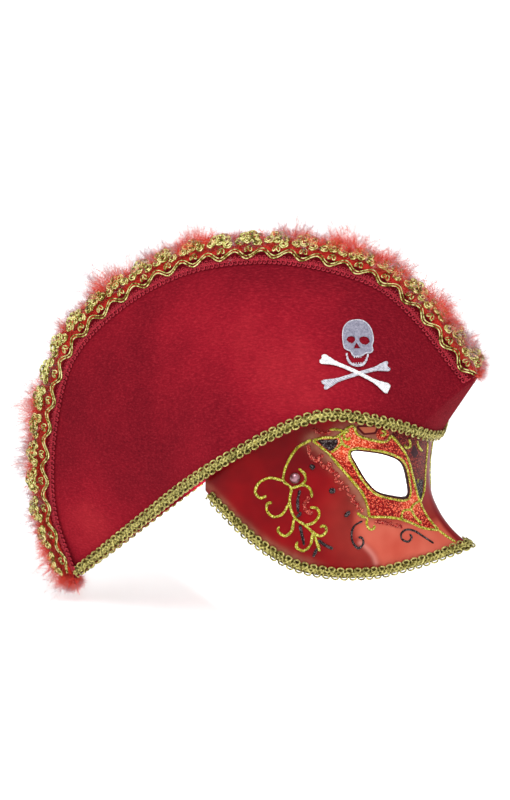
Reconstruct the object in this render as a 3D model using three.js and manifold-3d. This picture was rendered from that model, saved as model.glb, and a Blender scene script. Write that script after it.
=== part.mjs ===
// Pirate hat with its half-face mask: two felt panels meet along a feathered top seam and open
// over a moulded mask. Millimetres, +Z up, the face looks along -Y, the wearer's right is -X.
// The origin is the middle of the wearer's head, level with the eyes.
import * as THREE from 'three';
import Module from 'manifold-3d';

const wasm = await Module();
wasm.setup();

// ---------------------------------------------------------------- named dimensions
const GLUE_GAP = 0.3;
const WELD_DISTANCE = 0.001;

// Felt panel of the wearer's right side: lower edge from brow centre to rear tip.
const FELT_THICKNESS = 2.0;
const LOWER_EDGE = [
  [-0.7, -97, 14], [-18, -95, 16.5], [-31, -91, 20.5], [-43, -83, 25], [-54.5, -70.4, 29.5],
  [-62, -53.4, 32.5], [-65.2, -40, 30], [-67.2, -22.6, 22], [-67.4, -5.3, 12], [-64.2, 11.5, 1.5],
  [-52.4, 32.7, -13.5], [-37.6, 54.7, -31], [-24, 77.2, -49], [-12.8, 98.8, -66.5], [-3.2, 116.5, -80],
];
const PROW_TOP = [-2.9, -119, 49];
const TOP_EDGE = [
  PROW_TOP, [-3.1, -108, 61.5], [-3.2, -88, 84.8], [-3.2, -66.6, 101.8], [-3.2, -36, 111.5],
  [-3.2, 5, 115], [-3.2, 49, 107], [-3.2, 90, 84.5], [-3.2, 119, 54.5], [-3.2, 131.9, 10],
  [-3.2, 133.2, -36], [-3.2, 124.3, -64], [-3.2, 116.5, -80],
];
const PROW_SHARE = 0.11;
const PANEL_BULGE = 9;

// Lining inside each panel.
const LINING_THICKNESS = 0.8;
const LINING_GAP = 0.5;
const LINING_INSET = { front: 0.12, rear: 0.92, low: 0.13, high: 0.86 };

// Moulded mask: radius from the head axis, by angle from the nose (degrees) and by height.
const MASK_THICKNESS = 2.2;
const MASK_END_ANGLE = 111;
const CHEEK_LEVEL = -52;
const BROW_LEVEL = 24;
const CHEEK_RADIUS = through([
  [0, 83], [17, 82.5], [27, 79], [42, 75], [60, 68.5], [80, 63.5], [98, 61], [112, 59],
]);
const BROW_RADIUS = through([
  [0, 92], [12, 92], [26, 88.5], [40, 80.5], [55, 70.5], [70, 64], [85, 61], [98, 59.5], [112, 58],
]);
const NOSE_RIDGE = through([
  [-47, 117.5], [-40, 108.5], [-33, 102], [-26, 97.5], [-18, 94], [-8, 92.5], [2, 92.5], [12, 93.5], [26, 94],
]);
const NOSE_SPREAD = 11.5;
const NOSE_ROUNDING = 1.6;
const MASK_LOWER_EDGE = through([
  [0, -46], [3, -46.8], [11, -51.5], [18, -54], [27, -56.2], [41, -55.4], [47, -54.4], [60, -50.8],
  [71, -44.4], [84, -34.5], [97, -22.8], [105, -16.5], [112, -11],
]);
const MASK_UPPER_EDGE = through([
  [0, 18.5], [11, 21.5], [19, 25.5], [27, 30], [38, 34.5], [49, 37.5], [58, 35], [71, 27],
  [86, 17], [100, 6.5], [112, -3],
]);
const EYE_HOLE = [
  [40.2, 13.6], [33.6, 12.7], [27, 10], [20.4, 4.6], [16.5, -5], [15, -15.4], [22.9, -13.3],
  [28.9, -10], [33.4, -4.2], [37.9, 5.6],
];

// Trims.
const GIMP_WIDTH = 7.4;
const GIMP_THICKNESS = 1.6;
const HAT_GIMP_GAP = 0.6;
const MASK_GIMP_GAP = 0.8;
const RED_GIMP_WIDTH = 4.2;
const RED_GIMP_THICKNESS = 1.2;
const LACE_INNER = 5.6;
const LACE_OUTER = 5.0;
const LACE_SCALLOP = 2.2;
const LACE_THICKNESS = 1.2;
const LACE_GAP = 0.45;
const LACE_REPEATS = 26;
const TRIM_ENDS = { front: PROW_SHARE + 0.004, rear: 0.975 };

// Feather boa: a flat stem held in the top seam and a plump head outside it.
const BOA_SECTION = [
  [-3.5, 0.5], [3.5, 0.8], [7.8, 1.8], [10.5, 5.5], [14, 6], [17, 3],
];
const BOA_CLUMPS = 22;
const BOA_CLUMP_DEPTH = 0.1;

// Embroidered emblem: place on the panel and sizes.
const EMBLEM_PLACE = { along: 0.262, up: 0.4 };
const EMBLEM_THICKNESS = 0.9;
const EMBLEM_GAP = 0.9;
const SKULL_HEIGHT_SCALE = 1.16;
const SKULL_LIFT = 10;
const BONE_LENGTH = 39;
const BONE_TILT = 24;
const BONE_DROP = 9.3;

// Cheek beads and strap tabs.
const BEAD_RADIUS = 3;
const BEAD_ANGLE = 62.2;
const BEAD_HEIGHT = -0.9;
const TAB_SIZE = { length: 12, height: 11, thickness: 1.6 };
const TAB_ANGLE = 93;
const TAB_LEVEL = -2;

const COLOURS = {
  felt: 0xa82430, lining: 0x5d0f18, mask: 0xa8191e, gold: 0xc9a227, red: 0x9c1426,
  feather: 0xe0452f, white: 0xeeeef2, pearl: 0xd9a0a4, tab: 0x222222,
};

// ---------------------------------------------------------------- curves and surfaces

/** A smooth function through [x, y] knots, level beyond both ends. */
function through(knots) {
  const last = knots.length - 1;
  const slopes = knots.map((knot, i) => {
    const before = knots[Math.max(i - 1, 0)];
    const after = knots[Math.min(i + 1, last)];
    return (after[1] - before[1]) / (after[0] - before[0]);
  });
  return (x) => {
    if (x <= knots[0][0]) return knots[0][1];
    if (x >= knots[last][0]) return knots[last][1];
    const i = knots.findIndex((knot) => knot[0] > x) - 1;
    const width = knots[i + 1][0] - knots[i][0];
    const t = (x - knots[i][0]) / width;
    const rise = (1 + 2 * t) * (1 - t) ** 2 * knots[i][1] + t * t * (3 - 2 * t) * knots[i + 1][1];
    return rise + width * (t * (1 - t) ** 2 * slopes[i] + t * t * (t - 1) * slopes[i + 1]);
  };
}

const spline = (points) => new THREE.CatmullRomCurve3(points.map((p) => new THREE.Vector3(...p)));
const lowerEdge = spline(LOWER_EDGE);
const topEdge = spline(TOP_EDGE);
const browCentre = new THREE.Vector3(...LOWER_EDGE[0]);
const prowTop = new THREE.Vector3(...PROW_TOP);

/** Outer edge of the right panel: up the prow seam, then over the top to the rear tip. */
function outerEdge(along) {
  if (along < PROW_SHARE) return browCentre.clone().lerp(prowTop, along / PROW_SHARE);
  return topEdge.getPointAt(Math.min((along - PROW_SHARE) / (1 - PROW_SHARE), 1));
}

/** Outer face of the right felt panel; along runs front to rear, up runs lower edge to top seam. */
function panelPoint(along, up) {
  const point = lowerEdge.getPointAt(along).lerp(outerEdge(along), up);
  const bulge = PANEL_BULGE * 4 * up * (1 - up) * Math.sin(Math.PI * along) ** 0.7;
  return point.add(new THREE.Vector3(-0.85 * bulge, 0, 0.4 * bulge));
}

/** Unit normal of a surface function, pointing away from the head axis. */
function surfaceNormal(surface, a, b, stepA, stepB) {
  const alongA = surface(a + stepA, b).sub(surface(a - stepA, b));
  const alongB = surface(a, b + stepB).sub(surface(a, b - stepB));
  const normal = alongA.cross(alongB).normalize();
  const at = surface(a, b);
  return normal.dot(new THREE.Vector3(at.x, at.y * 0.25, 0)) < 0 ? normal.negate() : normal;
}

function panelNormal(along, up) {
  const a = THREE.MathUtils.clamp(along, 0.015, 0.985);
  const middle = along <= 0 || along >= 1 ? 0.5 : THREE.MathUtils.clamp(up, 0.02, 0.98);
  return surfaceNormal(panelPoint, a, middle, 0.006, 0.01);
}

/** Distance of the mask's outer face from the head axis. */
function maskRadius(angle, z) {
  const t = THREE.MathUtils.smoothstep(z, CHEEK_LEVEL, BROW_LEVEL);
  const face = (a) => THREE.MathUtils.lerp(CHEEK_RADIUS(a), BROW_RADIUS(a), t);
  const a = Math.abs(angle);
  const fromRidge = Math.hypot(a, NOSE_ROUNDING) - NOSE_ROUNDING;
  return face(a) + (NOSE_RIDGE(z) - face(0)) * Math.exp(-((fromRidge / NOSE_SPREAD) ** 1.1));
}

/** Outer face of the mask at an angle from the nose (positive to the wearer's right) and a height. */
function maskPoint(angle, z) {
  const turn = THREE.MathUtils.degToRad(angle);
  const radius = maskRadius(angle, z);
  return new THREE.Vector3(-radius * Math.sin(turn), -radius * Math.cos(turn), z);
}

const maskNormal = (angle, z) => {
  const normal = surfaceNormal(maskPoint, angle, z, 0.6, 0.6);
  const out = maskPoint(angle, 0).setZ(0);
  return normal.dot(out) < 0 ? normal.negate() : normal;
};

// ---------------------------------------------------------------- solids

/** Welds a geometry's touching points and drops its empty triangles. */
function clean(geometry) {
  const position = geometry.attributes.position;
  const numbers = new Map();
  const points = [];
  const weldedNumber = (i) => {
    const point = new THREE.Vector3().fromBufferAttribute(position, i);
    const key = point.toArray().map((c) => Math.round(c / WELD_DISTANCE)).join();
    if (!numbers.has(key)) {
      numbers.set(key, points.length);
      points.push(point);
    }
    return numbers.get(key);
  };
  const order = geometry.index ? Array.from(geometry.index.array) : [...Array(position.count).keys()];
  const corners = order.map(weldedNumber);
  const kept = [];
  for (let i = 0; i < corners.length; i += 3) {
    const [a, b, c] = corners.slice(i, i + 3);
    if (a !== b && b !== c && a !== c) kept.push(a, b, c);
  }
  const welded = new THREE.BufferGeometry().setFromPoints(points);
  welded.setIndex(kept);
  return facingOut(welded);
}

/** A closed solid from points and triangles. */
function weld(points, triangles) {
  const loose = new THREE.BufferGeometry();
  loose.setAttribute('position', new THREE.Float32BufferAttribute(points.flatMap((p) => p.toArray()), 3));
  loose.setIndex(triangles.flat());
  return clean(loose);
}

/** Turns a closed geometry the right way out. */
function facingOut(geometry) {
  const position = geometry.attributes.position;
  const index = geometry.index.array;
  const corner = (i) => new THREE.Vector3().fromBufferAttribute(position, index[i]);
  let volume = 0;
  for (let i = 0; i < index.length; i += 3) volume += corner(i).dot(corner(i + 1).cross(corner(i + 2)));
  if (volume < 0) {
    for (let i = 0; i < index.length; i += 3) [index[i], index[i + 1]] = [index[i + 1], index[i]];
  }
  geometry.computeVertexNormals();
  return geometry;
}

/** The two triangles of a quad given by four point numbers in order. */
const quad = (a, b, c, d) => [[a, b, c], [a, c, d]];

/** A sheet of even thickness between two faces, each a function of (column, row). */
function sheet(outside, inside, columns, rows) {
  const points = [];
  for (const face of [outside, inside]) {
    for (let i = 0; i <= columns; i++) {
      for (let j = 0; j <= rows; j++) points.push(face(i / columns, j / rows));
    }
  }
  const inner = (columns + 1) * (rows + 1);
  const at = (i, j) => i * (rows + 1) + j;
  const triangles = [];
  for (let i = 0; i < columns; i++) {
    for (let j = 0; j < rows; j++) {
      const ring = [at(i, j), at(i + 1, j), at(i + 1, j + 1), at(i, j + 1)];
      triangles.push(...quad(...ring), ...quad(...ring.map((n) => n + inner).reverse()));
    }
  }
  const rim = [];
  for (let i = 0; i < columns; i++) rim.push(at(i, 0));
  for (let j = 0; j < rows; j++) rim.push(at(columns, j));
  for (let i = columns; i > 0; i--) rim.push(at(i, rows));
  for (let j = rows; j > 0; j--) rim.push(at(0, j));
  rim.forEach((a, n) => {
    const b = rim[(n + 1) % rim.length];
    triangles.push(...quad(b, a, a + inner, b + inner));
  });
  return weld(points, triangles);
}

/** Sweeps a closed outline through stations; stationPoints(t) returns one ring of points. */
function sweep(stationPoints, stations) {
  const points = [];
  for (let i = 0; i <= stations; i++) points.push(...stationPoints(i / stations));
  const sides = points.length / (stations + 1);
  const triangles = [];
  for (let i = 0; i < stations; i++) {
    for (let j = 0; j < sides; j++) {
      const next = (j + 1) % sides;
      const row = i * sides;
      triangles.push(...quad(row + j, row + next, row + sides + next, row + sides + j));
    }
  }
  const lastRow = stations * sides;
  for (let j = 1; j < sides - 1; j++) {
    triangles.push([0, j + 1, j], [lastRow, lastRow + j, lastRow + j + 1]);
  }
  return weld(points, triangles);
}

/** Four corners of a flat tape: from near to far across the tape, standing off the surface. */
function tapeRing(frame, near, far, standoff, thickness) {
  const corner = (across, off) => frame.at.clone()
    .addScaledVector(frame.inward, across)
    .addScaledVector(frame.normal, off);
  return [
    corner(near, standoff), corner(far, standoff),
    corner(far, standoff + thickness), corner(near, standoff + thickness),
  ];
}

/** Frame on an edge: the point, the direction into the sheet and the outward normal. */
function edgeFrame(edge, t, normalHint, inwardHint) {
  const step = 0.004;
  const from = Math.max(t - step, 0);
  const to = Math.min(t + step, 1);
  const tangent = edge(to).sub(edge(from)).normalize();
  const inward = inwardHint.clone().addScaledVector(tangent, -inwardHint.dot(tangent)).normalize();
  const normal = tangent.clone().cross(inward);
  if (normal.dot(normalHint) < 0) normal.negate();
  return { at: edge(t), inward, normal };
}

/** Mirrors a geometry from the wearer's right to the wearer's left. */
function mirrored(geometry) {
  const copy = geometry.clone();
  copy.scale(-1, 1, 1);
  return facingOut(copy);
}

const toManifold = (geometry) => {
  const welded = clean(geometry);
  return new wasm.Manifold(new wasm.Mesh({
    numProp: 3,
    vertProperties: new Float32Array(welded.attributes.position.array),
    triVerts: new Uint32Array(welded.index.array),
  }));
};

const fromManifold = (solid) => {
  const mesh = solid.getMesh();
  const geometry = new THREE.BufferGeometry();
  geometry.setAttribute('position', new THREE.BufferAttribute(mesh.vertProperties, 3));
  geometry.setIndex(new THREE.BufferAttribute(mesh.triVerts, 1));
  geometry.computeVertexNormals();
  return geometry;
};

// ---------------------------------------------------------------- felt panels and lining

/** Layer of the right panel between two depths below its outer face. */
function panelLayer(reach, depth, thickness, columns, rows) {
  const place = (column, row) => [
    THREE.MathUtils.lerp(reach.front, reach.rear, column),
    THREE.MathUtils.lerp(reach.low, reach.high, row),
  ];
  const face = (below) => (column, row) => {
    const [along, up] = place(column, row);
    return panelPoint(along, up).addScaledVector(panelNormal(along, up), -below);
  };
  return sheet(face(depth), face(depth + thickness), columns, rows);
}

const feltPanel = () => panelLayer({ front: 0, rear: 1, low: 0, high: 1 }, 0, FELT_THICKNESS, 44, 7);

const liningPanel = () =>
  panelLayer(LINING_INSET, FELT_THICKNESS + LINING_GAP, LINING_THICKNESS, 26, 5);

// ---------------------------------------------------------------- mask

/** Right half-prism that cuts one eye hole. */
function eyeCutter() {
  const rim = new THREE.CatmullRomCurve3(
    EYE_HOLE.map(([angle, z]) => new THREE.Vector3(angle, z, 0)), true,
  ).getPoints(26).slice(0, -1);
  const centre = maskNormal(30, 0);
  const ring = (off) => rim.map((p) => maskPoint(p.x, p.y).addScaledVector(centre, off));
  return sweep((t) => ring(THREE.MathUtils.lerp(-14, 14, t)), 1);
}

function maskShell() {
  const face = (below) => (column, row) => {
    const angle = THREE.MathUtils.lerp(-MASK_END_ANGLE, MASK_END_ANGLE, column);
    const low = MASK_LOWER_EDGE(Math.abs(angle));
    const z = THREE.MathUtils.lerp(low, MASK_UPPER_EDGE(Math.abs(angle)), row);
    return maskPoint(angle, z).addScaledVector(maskNormal(angle, z), -below);
  };
  const blank = toManifold(sheet(face(0), face(MASK_THICKNESS), 56, 10));
  const rightEye = eyeCutter();
  const eyes = toManifold(rightEye).add(toManifold(mirrored(rightEye)));
  return fromManifold(blank.subtract(eyes));
}

/** Flat tab inside the ear end of the mask, where the strap is sewn. */
function strapTab() {
  const normal = maskNormal(TAB_ANGLE, TAB_LEVEL).setZ(0).normalize();
  const centre = maskPoint(TAB_ANGLE, TAB_LEVEL);
  const tab = new THREE.BoxGeometry(TAB_SIZE.length, TAB_SIZE.thickness, TAB_SIZE.height);
  const turn = Math.atan2(-normal.x, normal.y);
  tab.rotateZ(turn);
  const depth = MASK_THICKNESS + GLUE_GAP + TAB_SIZE.thickness / 2 + 0.9;
  tab.translate(...centre.addScaledVector(normal, -depth).toArray());
  return clean(tab);
}

/** Half-round bead glued on the cheek. */
function cheekBead() {
  const dome = new THREE.LatheGeometry([
    new THREE.Vector2(0, 0), new THREE.Vector2(BEAD_RADIUS, 0),
    ...[15, 35, 55, 75].map((lift) => {
      const turn = THREE.MathUtils.degToRad(lift);
      return new THREE.Vector2(BEAD_RADIUS * Math.cos(turn), 0.8 * BEAD_RADIUS * Math.sin(turn));
    }),
    new THREE.Vector2(0, 0.8 * BEAD_RADIUS),
  ], 16);
  const normal = maskNormal(BEAD_ANGLE, BEAD_HEIGHT);
  const turn = new THREE.Quaternion().setFromUnitVectors(new THREE.Vector3(0, 1, 0), normal);
  dome.applyQuaternion(turn);
  dome.translate(...maskPoint(BEAD_ANGLE, BEAD_HEIGHT).addScaledVector(normal, GLUE_GAP).toArray());
  return clean(dome);
}

// ---------------------------------------------------------------- trims

/** Frame on the lower edge of the hat; t runs from the right rear tip round the brow to the left. */
function hatEdgeFrame(t) {
  const side = t < 0.5 ? 1 : -1;
  const along = Math.abs(1 - 2 * t) * 0.985;
  const edge = (a) => lowerEdge.getPointAt(Math.abs(a));
  const inward = panelPoint(along, 0.1).sub(panelPoint(along, 0));
  const frame = edgeFrame(edge, along, panelNormal(along, 0.05), inward);
  const facing = THREE.MathUtils.smoothstep(along, 0, 0.05);
  const prow = prowTop.clone().sub(browCentre).setX(0).normalize();
  frame.inward.lerp(prow, 1 - facing).normalize();
  frame.normal.lerp(new THREE.Vector3(0, -prow.z, prow.y), 1 - facing).normalize();
  if (side < 0) for (const key of ['at', 'inward', 'normal']) frame[key].x *= -1;
  return frame;
}

const hatEdgeGimp = () => sweep(
  (t) => tapeRing(hatEdgeFrame(t), -1, GIMP_WIDTH - 1, HAT_GIMP_GAP, GIMP_THICKNESS), 76,
);

/** Gimp round the lower edge of the mask from ear to ear, with closer stations at the nose. */
function maskEdgeGimp() {
  const angleAt = (t) => (MASK_END_ANGLE - 3) * Math.sign(t - 0.5) * Math.abs(2 * t - 1) ** 1.4;
  const edge = (t) => maskPoint(angleAt(t), MASK_LOWER_EDGE(Math.abs(angleAt(t))));
  return sweep((t) => {
    const angle = angleAt(t);
    const low = MASK_LOWER_EDGE(Math.abs(angle));
    const inward = maskPoint(angle, low + 3).sub(maskPoint(angle, low));
    const frame = edgeFrame(edge, t, maskNormal(angle, low + 2), inward);
    return tapeRing(frame, -3, GIMP_WIDTH - 3, MASK_GIMP_GAP, GIMP_THICKNESS);
  }, 64);
}

/** Frame on the outer edge of the right panel. */
function outerFrame(t) {
  const along = THREE.MathUtils.lerp(TRIM_ENDS.front, TRIM_ENDS.rear, t);
  const share = (u) => outerEdge(THREE.MathUtils.clamp(u, TRIM_ENDS.front, 1));
  const inward = panelPoint(along, 0.96).sub(panelPoint(along, 1));
  return edgeFrame(share, along, panelNormal(along, 0.97), inward);
}

/** Gold lace: sewn to the panel, standing upright past its edge and swelling once per repeat. */
const goldLace = () => sweep((t) => {
  const frame = outerFrame(t);
  const upright = frame.inward.clone().setX(0).normalize();
  const swell = LACE_SCALLOP * (1 - Math.abs(Math.cos(Math.PI * LACE_REPEATS * t)));
  const place = (across, off) => frame.at.clone()
    .addScaledVector(across > 0 ? frame.inward : upright, across)
    .addScaledVector(across > 0 ? frame.normal : new THREE.Vector3(-1, 0, 0), off);
  const reaches = [-LACE_OUTER - swell, -0.5, LACE_INNER];
  return [
    ...reaches.map((across) => place(across, LACE_GAP)),
    ...reaches.reverse().map((across) => place(across, LACE_GAP + LACE_THICKNESS)),
  ];
}, LACE_REPEATS * 3);

const redGimp = () => sweep(
  (t) => tapeRing(
    outerFrame(t), LACE_INNER + GLUE_GAP, LACE_INNER + GLUE_GAP + RED_GIMP_WIDTH,
    GLUE_GAP, RED_GIMP_THICKNESS,
  ), 60,
);

/** Feather boa whose stem lies in the seam between the two panels. */
function featherBoa() {
  return sweep((t) => {
    const along = THREE.MathUtils.lerp(TRIM_ENDS.front, TRIM_ENDS.rear, t);
    const share = (u) => outerEdge(THREE.MathUtils.clamp(u, TRIM_ENDS.front, 1)).setX(0);
    const inward = panelPoint(along, 0.9).sub(panelPoint(along, 1)).setX(0);
    const frame = edgeFrame(share, along, new THREE.Vector3(-1, 0, 0), inward);
    const clump = 1 + BOA_CLUMP_DEPTH * Math.sin(2 * Math.PI * BOA_CLUMPS * t);
    const place = ([reach, half], side) => frame.at.clone()
      .addScaledVector(frame.inward, -(reach > 8 ? reach * clump : reach))
      .addScaledVector(frame.normal, side * half);
    return [
      ...BOA_SECTION.map((p) => place(p, 1)),
      ...BOA_SECTION.slice().reverse().map((p) => place(p, -1)),
    ];
  }, BOA_CLUMPS * 3);
}

// ---------------------------------------------------------------- embroidered emblem

/** Skull outline with eye, nose and mouth openings; the origin is the middle of the face. */
function skullShape() {
  const skull = new THREE.Shape();
  skull.moveTo(5.2, -5.4);
  skull.bezierCurveTo(6.4, -4.4, 8.8, -4.2, 8.9, -2);
  skull.bezierCurveTo(11, 7, 7.5, 14, 0, 14);
  skull.bezierCurveTo(-7.5, 14, -11, 7, -8.9, -2);
  skull.bezierCurveTo(-8.8, -4.2, -6.4, -4.4, -5.2, -5.4);
  skull.bezierCurveTo(-6.9, -6, -7.2, -8, -6, -10.6);
  skull.bezierCurveTo(-4.5, -14, 4.5, -14, 6, -10.6);
  skull.bezierCurveTo(7.2, -8, 6.9, -6, 5.2, -5.4);
  for (const side of [-1, 1]) {
    skull.holes.push(new THREE.Path().absellipse(side * 4, 1.8, 2.5, 2.1, 0, 2 * Math.PI));
  }
  const nose = new THREE.Path();
  nose.moveTo(0, -0.4);
  nose.lineTo(1.4, -2.8);
  nose.lineTo(-1.4, -2.8);
  skull.holes.push(nose);
  const mouth = new THREE.Path();
  mouth.moveTo(-4.3, -7.4);
  mouth.quadraticCurveTo(0, -8.2, 4.3, -7.4);
  mouth.bezierCurveTo(3.8, -12, -3.8, -12, -4.3, -7.4);
  skull.holes.push(mouth);
  return skull;
}

/** One bone: a straight shaft that flares into two knuckles at each end. */
function boneShape() {
  const bone = new THREE.Shape();
  const half = BONE_LENGTH / 2;
  const neck = half - 4;
  const steps = [-0.5, 0, 0.5, 1];
  bone.moveTo(-neck, -1.1);
  for (const step of steps) bone.lineTo(step * neck, -1.1);
  bone.bezierCurveTo(half - 2.5, -1.6, half - 2.5, -3.2, half - 0.8, -2.6);
  bone.bezierCurveTo(half + 1, -2, half + 0.6, -0.4, half - 0.4, 0);
  bone.bezierCurveTo(half + 0.6, 0.4, half + 1, 2, half - 0.8, 2.6);
  bone.bezierCurveTo(half - 2.5, 3.2, half - 2.5, 1.6, neck, 1.1);
  for (const step of steps) bone.lineTo(-step * neck, 1.1);
  bone.bezierCurveTo(-half + 2.5, 1.6, -half + 2.5, 3.2, -half + 0.8, 2.6);
  bone.bezierCurveTo(-half - 1, 2, -half - 0.6, 0.4, -half + 0.4, 0);
  bone.bezierCurveTo(-half - 0.6, -0.4, -half - 1, -2, -half + 0.8, -2.6);
  bone.bezierCurveTo(-half + 2.5, -3.2, -half + 2.5, -1.6, -neck, -1.1);
  return bone;
}

const raised = (shape) => new THREE.ExtrudeGeometry(shape, {
  depth: EMBLEM_THICKNESS, bevelEnabled: false, curveSegments: 5,
});

/** Lays a flat emblem on the panel; its local x runs towards the prow and y runs up. */
function onPanel(geometry) {
  const { along, up } = EMBLEM_PLACE;
  const centre = panelPoint(along, up);
  const normal = panelNormal(along, up);
  const upward = new THREE.Vector3(0, 0, 1).addScaledVector(normal, -normal.z).normalize();
  const forward = upward.clone().cross(normal).normalize();
  if (forward.y > 0) forward.negate();
  const position = geometry.attributes.position;
  for (let i = 0; i < position.count; i++) {
    const x = position.getX(i);
    const y = position.getY(i);
    const target = centre.clone().addScaledVector(forward, x).addScaledVector(upward, y);
    const [a, u] = nearestOnPanel(target, along, up, forward, upward);
    const lift = EMBLEM_GAP + position.getZ(i);
    const at = panelPoint(a, u).addScaledVector(panelNormal(a, u), lift);
    position.setXYZ(i, at.x, at.y, at.z);
  }
  return facingOut(geometry);
}

/** Panel coordinates whose point lines up with the target across the two given directions. */
function nearestOnPanel(target, along, up, forward, upward) {
  let a = along;
  let u = up;
  const step = 0.004;
  for (let pass = 0; pass < 8; pass++) {
    const here = panelPoint(a, u);
    const miss = target.clone().sub(here);
    const byA = panelPoint(a + step, u).sub(here).divideScalar(step);
    const byU = panelPoint(a, u + step).sub(here).divideScalar(step);
    const [ax, ay, ux, uy] = [byA.dot(forward), byA.dot(upward), byU.dot(forward), byU.dot(upward)];
    const [mx, my] = [miss.dot(forward), miss.dot(upward)];
    const det = ax * uy - ux * ay;
    a += (mx * uy - ux * my) / det;
    u += (ax * my - mx * ay) / det;
  }
  return [a, u];
}

function skull() {
  const flat = raised(skullShape());
  flat.scale(1, SKULL_HEIGHT_SCALE, 1);
  flat.translate(0, SKULL_LIFT, 0);
  return onPanel(fromManifold(toManifold(flat)));
}

function crossbones() {
  const bones = [-1, 1].map((side) => {
    const bone = raised(boneShape());
    bone.rotateZ(side * THREE.MathUtils.degToRad(BONE_TILT));
    bone.translate(0, -BONE_DROP, 0);
    return toManifold(bone);
  });
  return onPanel(fromManifold(bones[0].add(bones[1])));
}

// ---------------------------------------------------------------- assembly

const hat = new THREE.Group();
hat.name = 'pirate_hat';

function add(name, geometry, colour, roughness = 0.8) {
  const material = new THREE.MeshStandardMaterial({ color: colour, roughness });
  material.name = name;
  const mesh = new THREE.Mesh(geometry, material);
  mesh.name = name;
  hat.add(mesh);
}

function addPair(name, geometry, colour, roughness) {
  add(`${name}_right`, geometry, colour, roughness);
  add(`${name}_left`, mirrored(geometry), colour, roughness);
}

add('mask_shell', maskShell(), COLOURS.mask, 0.3);
addPair('felt_panel', feltPanel(), COLOURS.felt);
addPair('lining', liningPanel(), COLOURS.lining);
add('hat_edge_gimp', hatEdgeGimp(), COLOURS.gold, 0.4);
add('mask_edge_gimp', maskEdgeGimp(), COLOURS.gold, 0.4);
addPair('gold_lace', goldLace(), COLOURS.gold, 0.4);
addPair('red_gimp', redGimp(), COLOURS.red);
add('feather_boa', featherBoa(), COLOURS.feather, 1);
addPair('skull', skull(), COLOURS.white);
addPair('crossbones', crossbones(), COLOURS.white);
addPair('cheek_bead', cheekBead(), COLOURS.pearl, 0.2);
addPair('strap_tab', strapTab(), COLOURS.tab);

export default hat;
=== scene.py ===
"""Looks of the pirate hat with its half-face mask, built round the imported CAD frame.

Helper functions work in millimetres in the frame of the part: +Z up, the face looks along -Y and
the wearer's right is -X. place() turns millimetres into metres. The pieces of a pair are made for
the wearer's right side and mirrored for the left one.
"""
import math

import bpy
import numpy as np
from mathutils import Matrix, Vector


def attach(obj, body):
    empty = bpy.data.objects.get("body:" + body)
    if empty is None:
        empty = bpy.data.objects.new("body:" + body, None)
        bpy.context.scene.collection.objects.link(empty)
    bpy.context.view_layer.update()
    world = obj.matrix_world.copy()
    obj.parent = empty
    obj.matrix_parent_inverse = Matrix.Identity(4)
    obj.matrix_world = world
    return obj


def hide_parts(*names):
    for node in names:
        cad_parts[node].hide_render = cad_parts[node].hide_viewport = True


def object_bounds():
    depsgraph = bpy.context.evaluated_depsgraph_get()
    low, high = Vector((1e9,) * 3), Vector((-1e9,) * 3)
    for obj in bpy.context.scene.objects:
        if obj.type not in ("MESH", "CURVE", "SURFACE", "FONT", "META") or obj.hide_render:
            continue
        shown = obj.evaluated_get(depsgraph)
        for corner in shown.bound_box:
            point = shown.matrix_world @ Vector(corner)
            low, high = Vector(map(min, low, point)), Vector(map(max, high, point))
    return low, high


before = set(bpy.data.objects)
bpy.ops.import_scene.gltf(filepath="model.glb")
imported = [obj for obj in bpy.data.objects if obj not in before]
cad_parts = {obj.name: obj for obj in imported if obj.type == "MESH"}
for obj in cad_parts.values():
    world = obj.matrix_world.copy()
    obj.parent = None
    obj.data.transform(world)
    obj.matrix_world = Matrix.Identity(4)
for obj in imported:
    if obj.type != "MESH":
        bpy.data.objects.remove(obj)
CAD_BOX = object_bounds()

# ------------------------------------------------------------------ dimensions shared with the CAD
LOWER_EDGE = [
    (-0.7, -97, 14), (-18, -95, 16.5), (-31, -91, 20.5), (-43, -83, 25), (-54.5, -70.4, 29.5),
    (-62, -53.4, 32.5), (-65.2, -40, 30), (-67.2, -22.6, 22), (-67.4, -5.3, 12), (-64.2, 11.5, 1.5),
    (-52.4, 32.7, -13.5), (-37.6, 54.7, -31), (-24, 77.2, -49), (-12.8, 98.8, -66.5), (-3.2, 116.5, -80),
]
TOP_EDGE = [
    (-2.9, -119, 49), (-3.1, -108, 61.5), (-3.2, -88, 84.8), (-3.2, -66.6, 101.8), (-3.2, -36, 111.5),
    (-3.2, 5, 115), (-3.2, 49, 107), (-3.2, 90, 84.5), (-3.2, 119, 54.5), (-3.2, 131.9, 10),
    (-3.2, 133.2, -36), (-3.2, 124.3, -64), (-3.2, 116.5, -80),
]
PROW_SHARE = 0.11
PANEL_BULGE = 9.0
FELT_THICKNESS = 2.0
LINING_INSET = {"front": 0.12, "rear": 0.92, "low": 0.13, "high": 0.86}
LINING_DEPTH = 2.5
LINING_THICKNESS = 0.8

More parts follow.
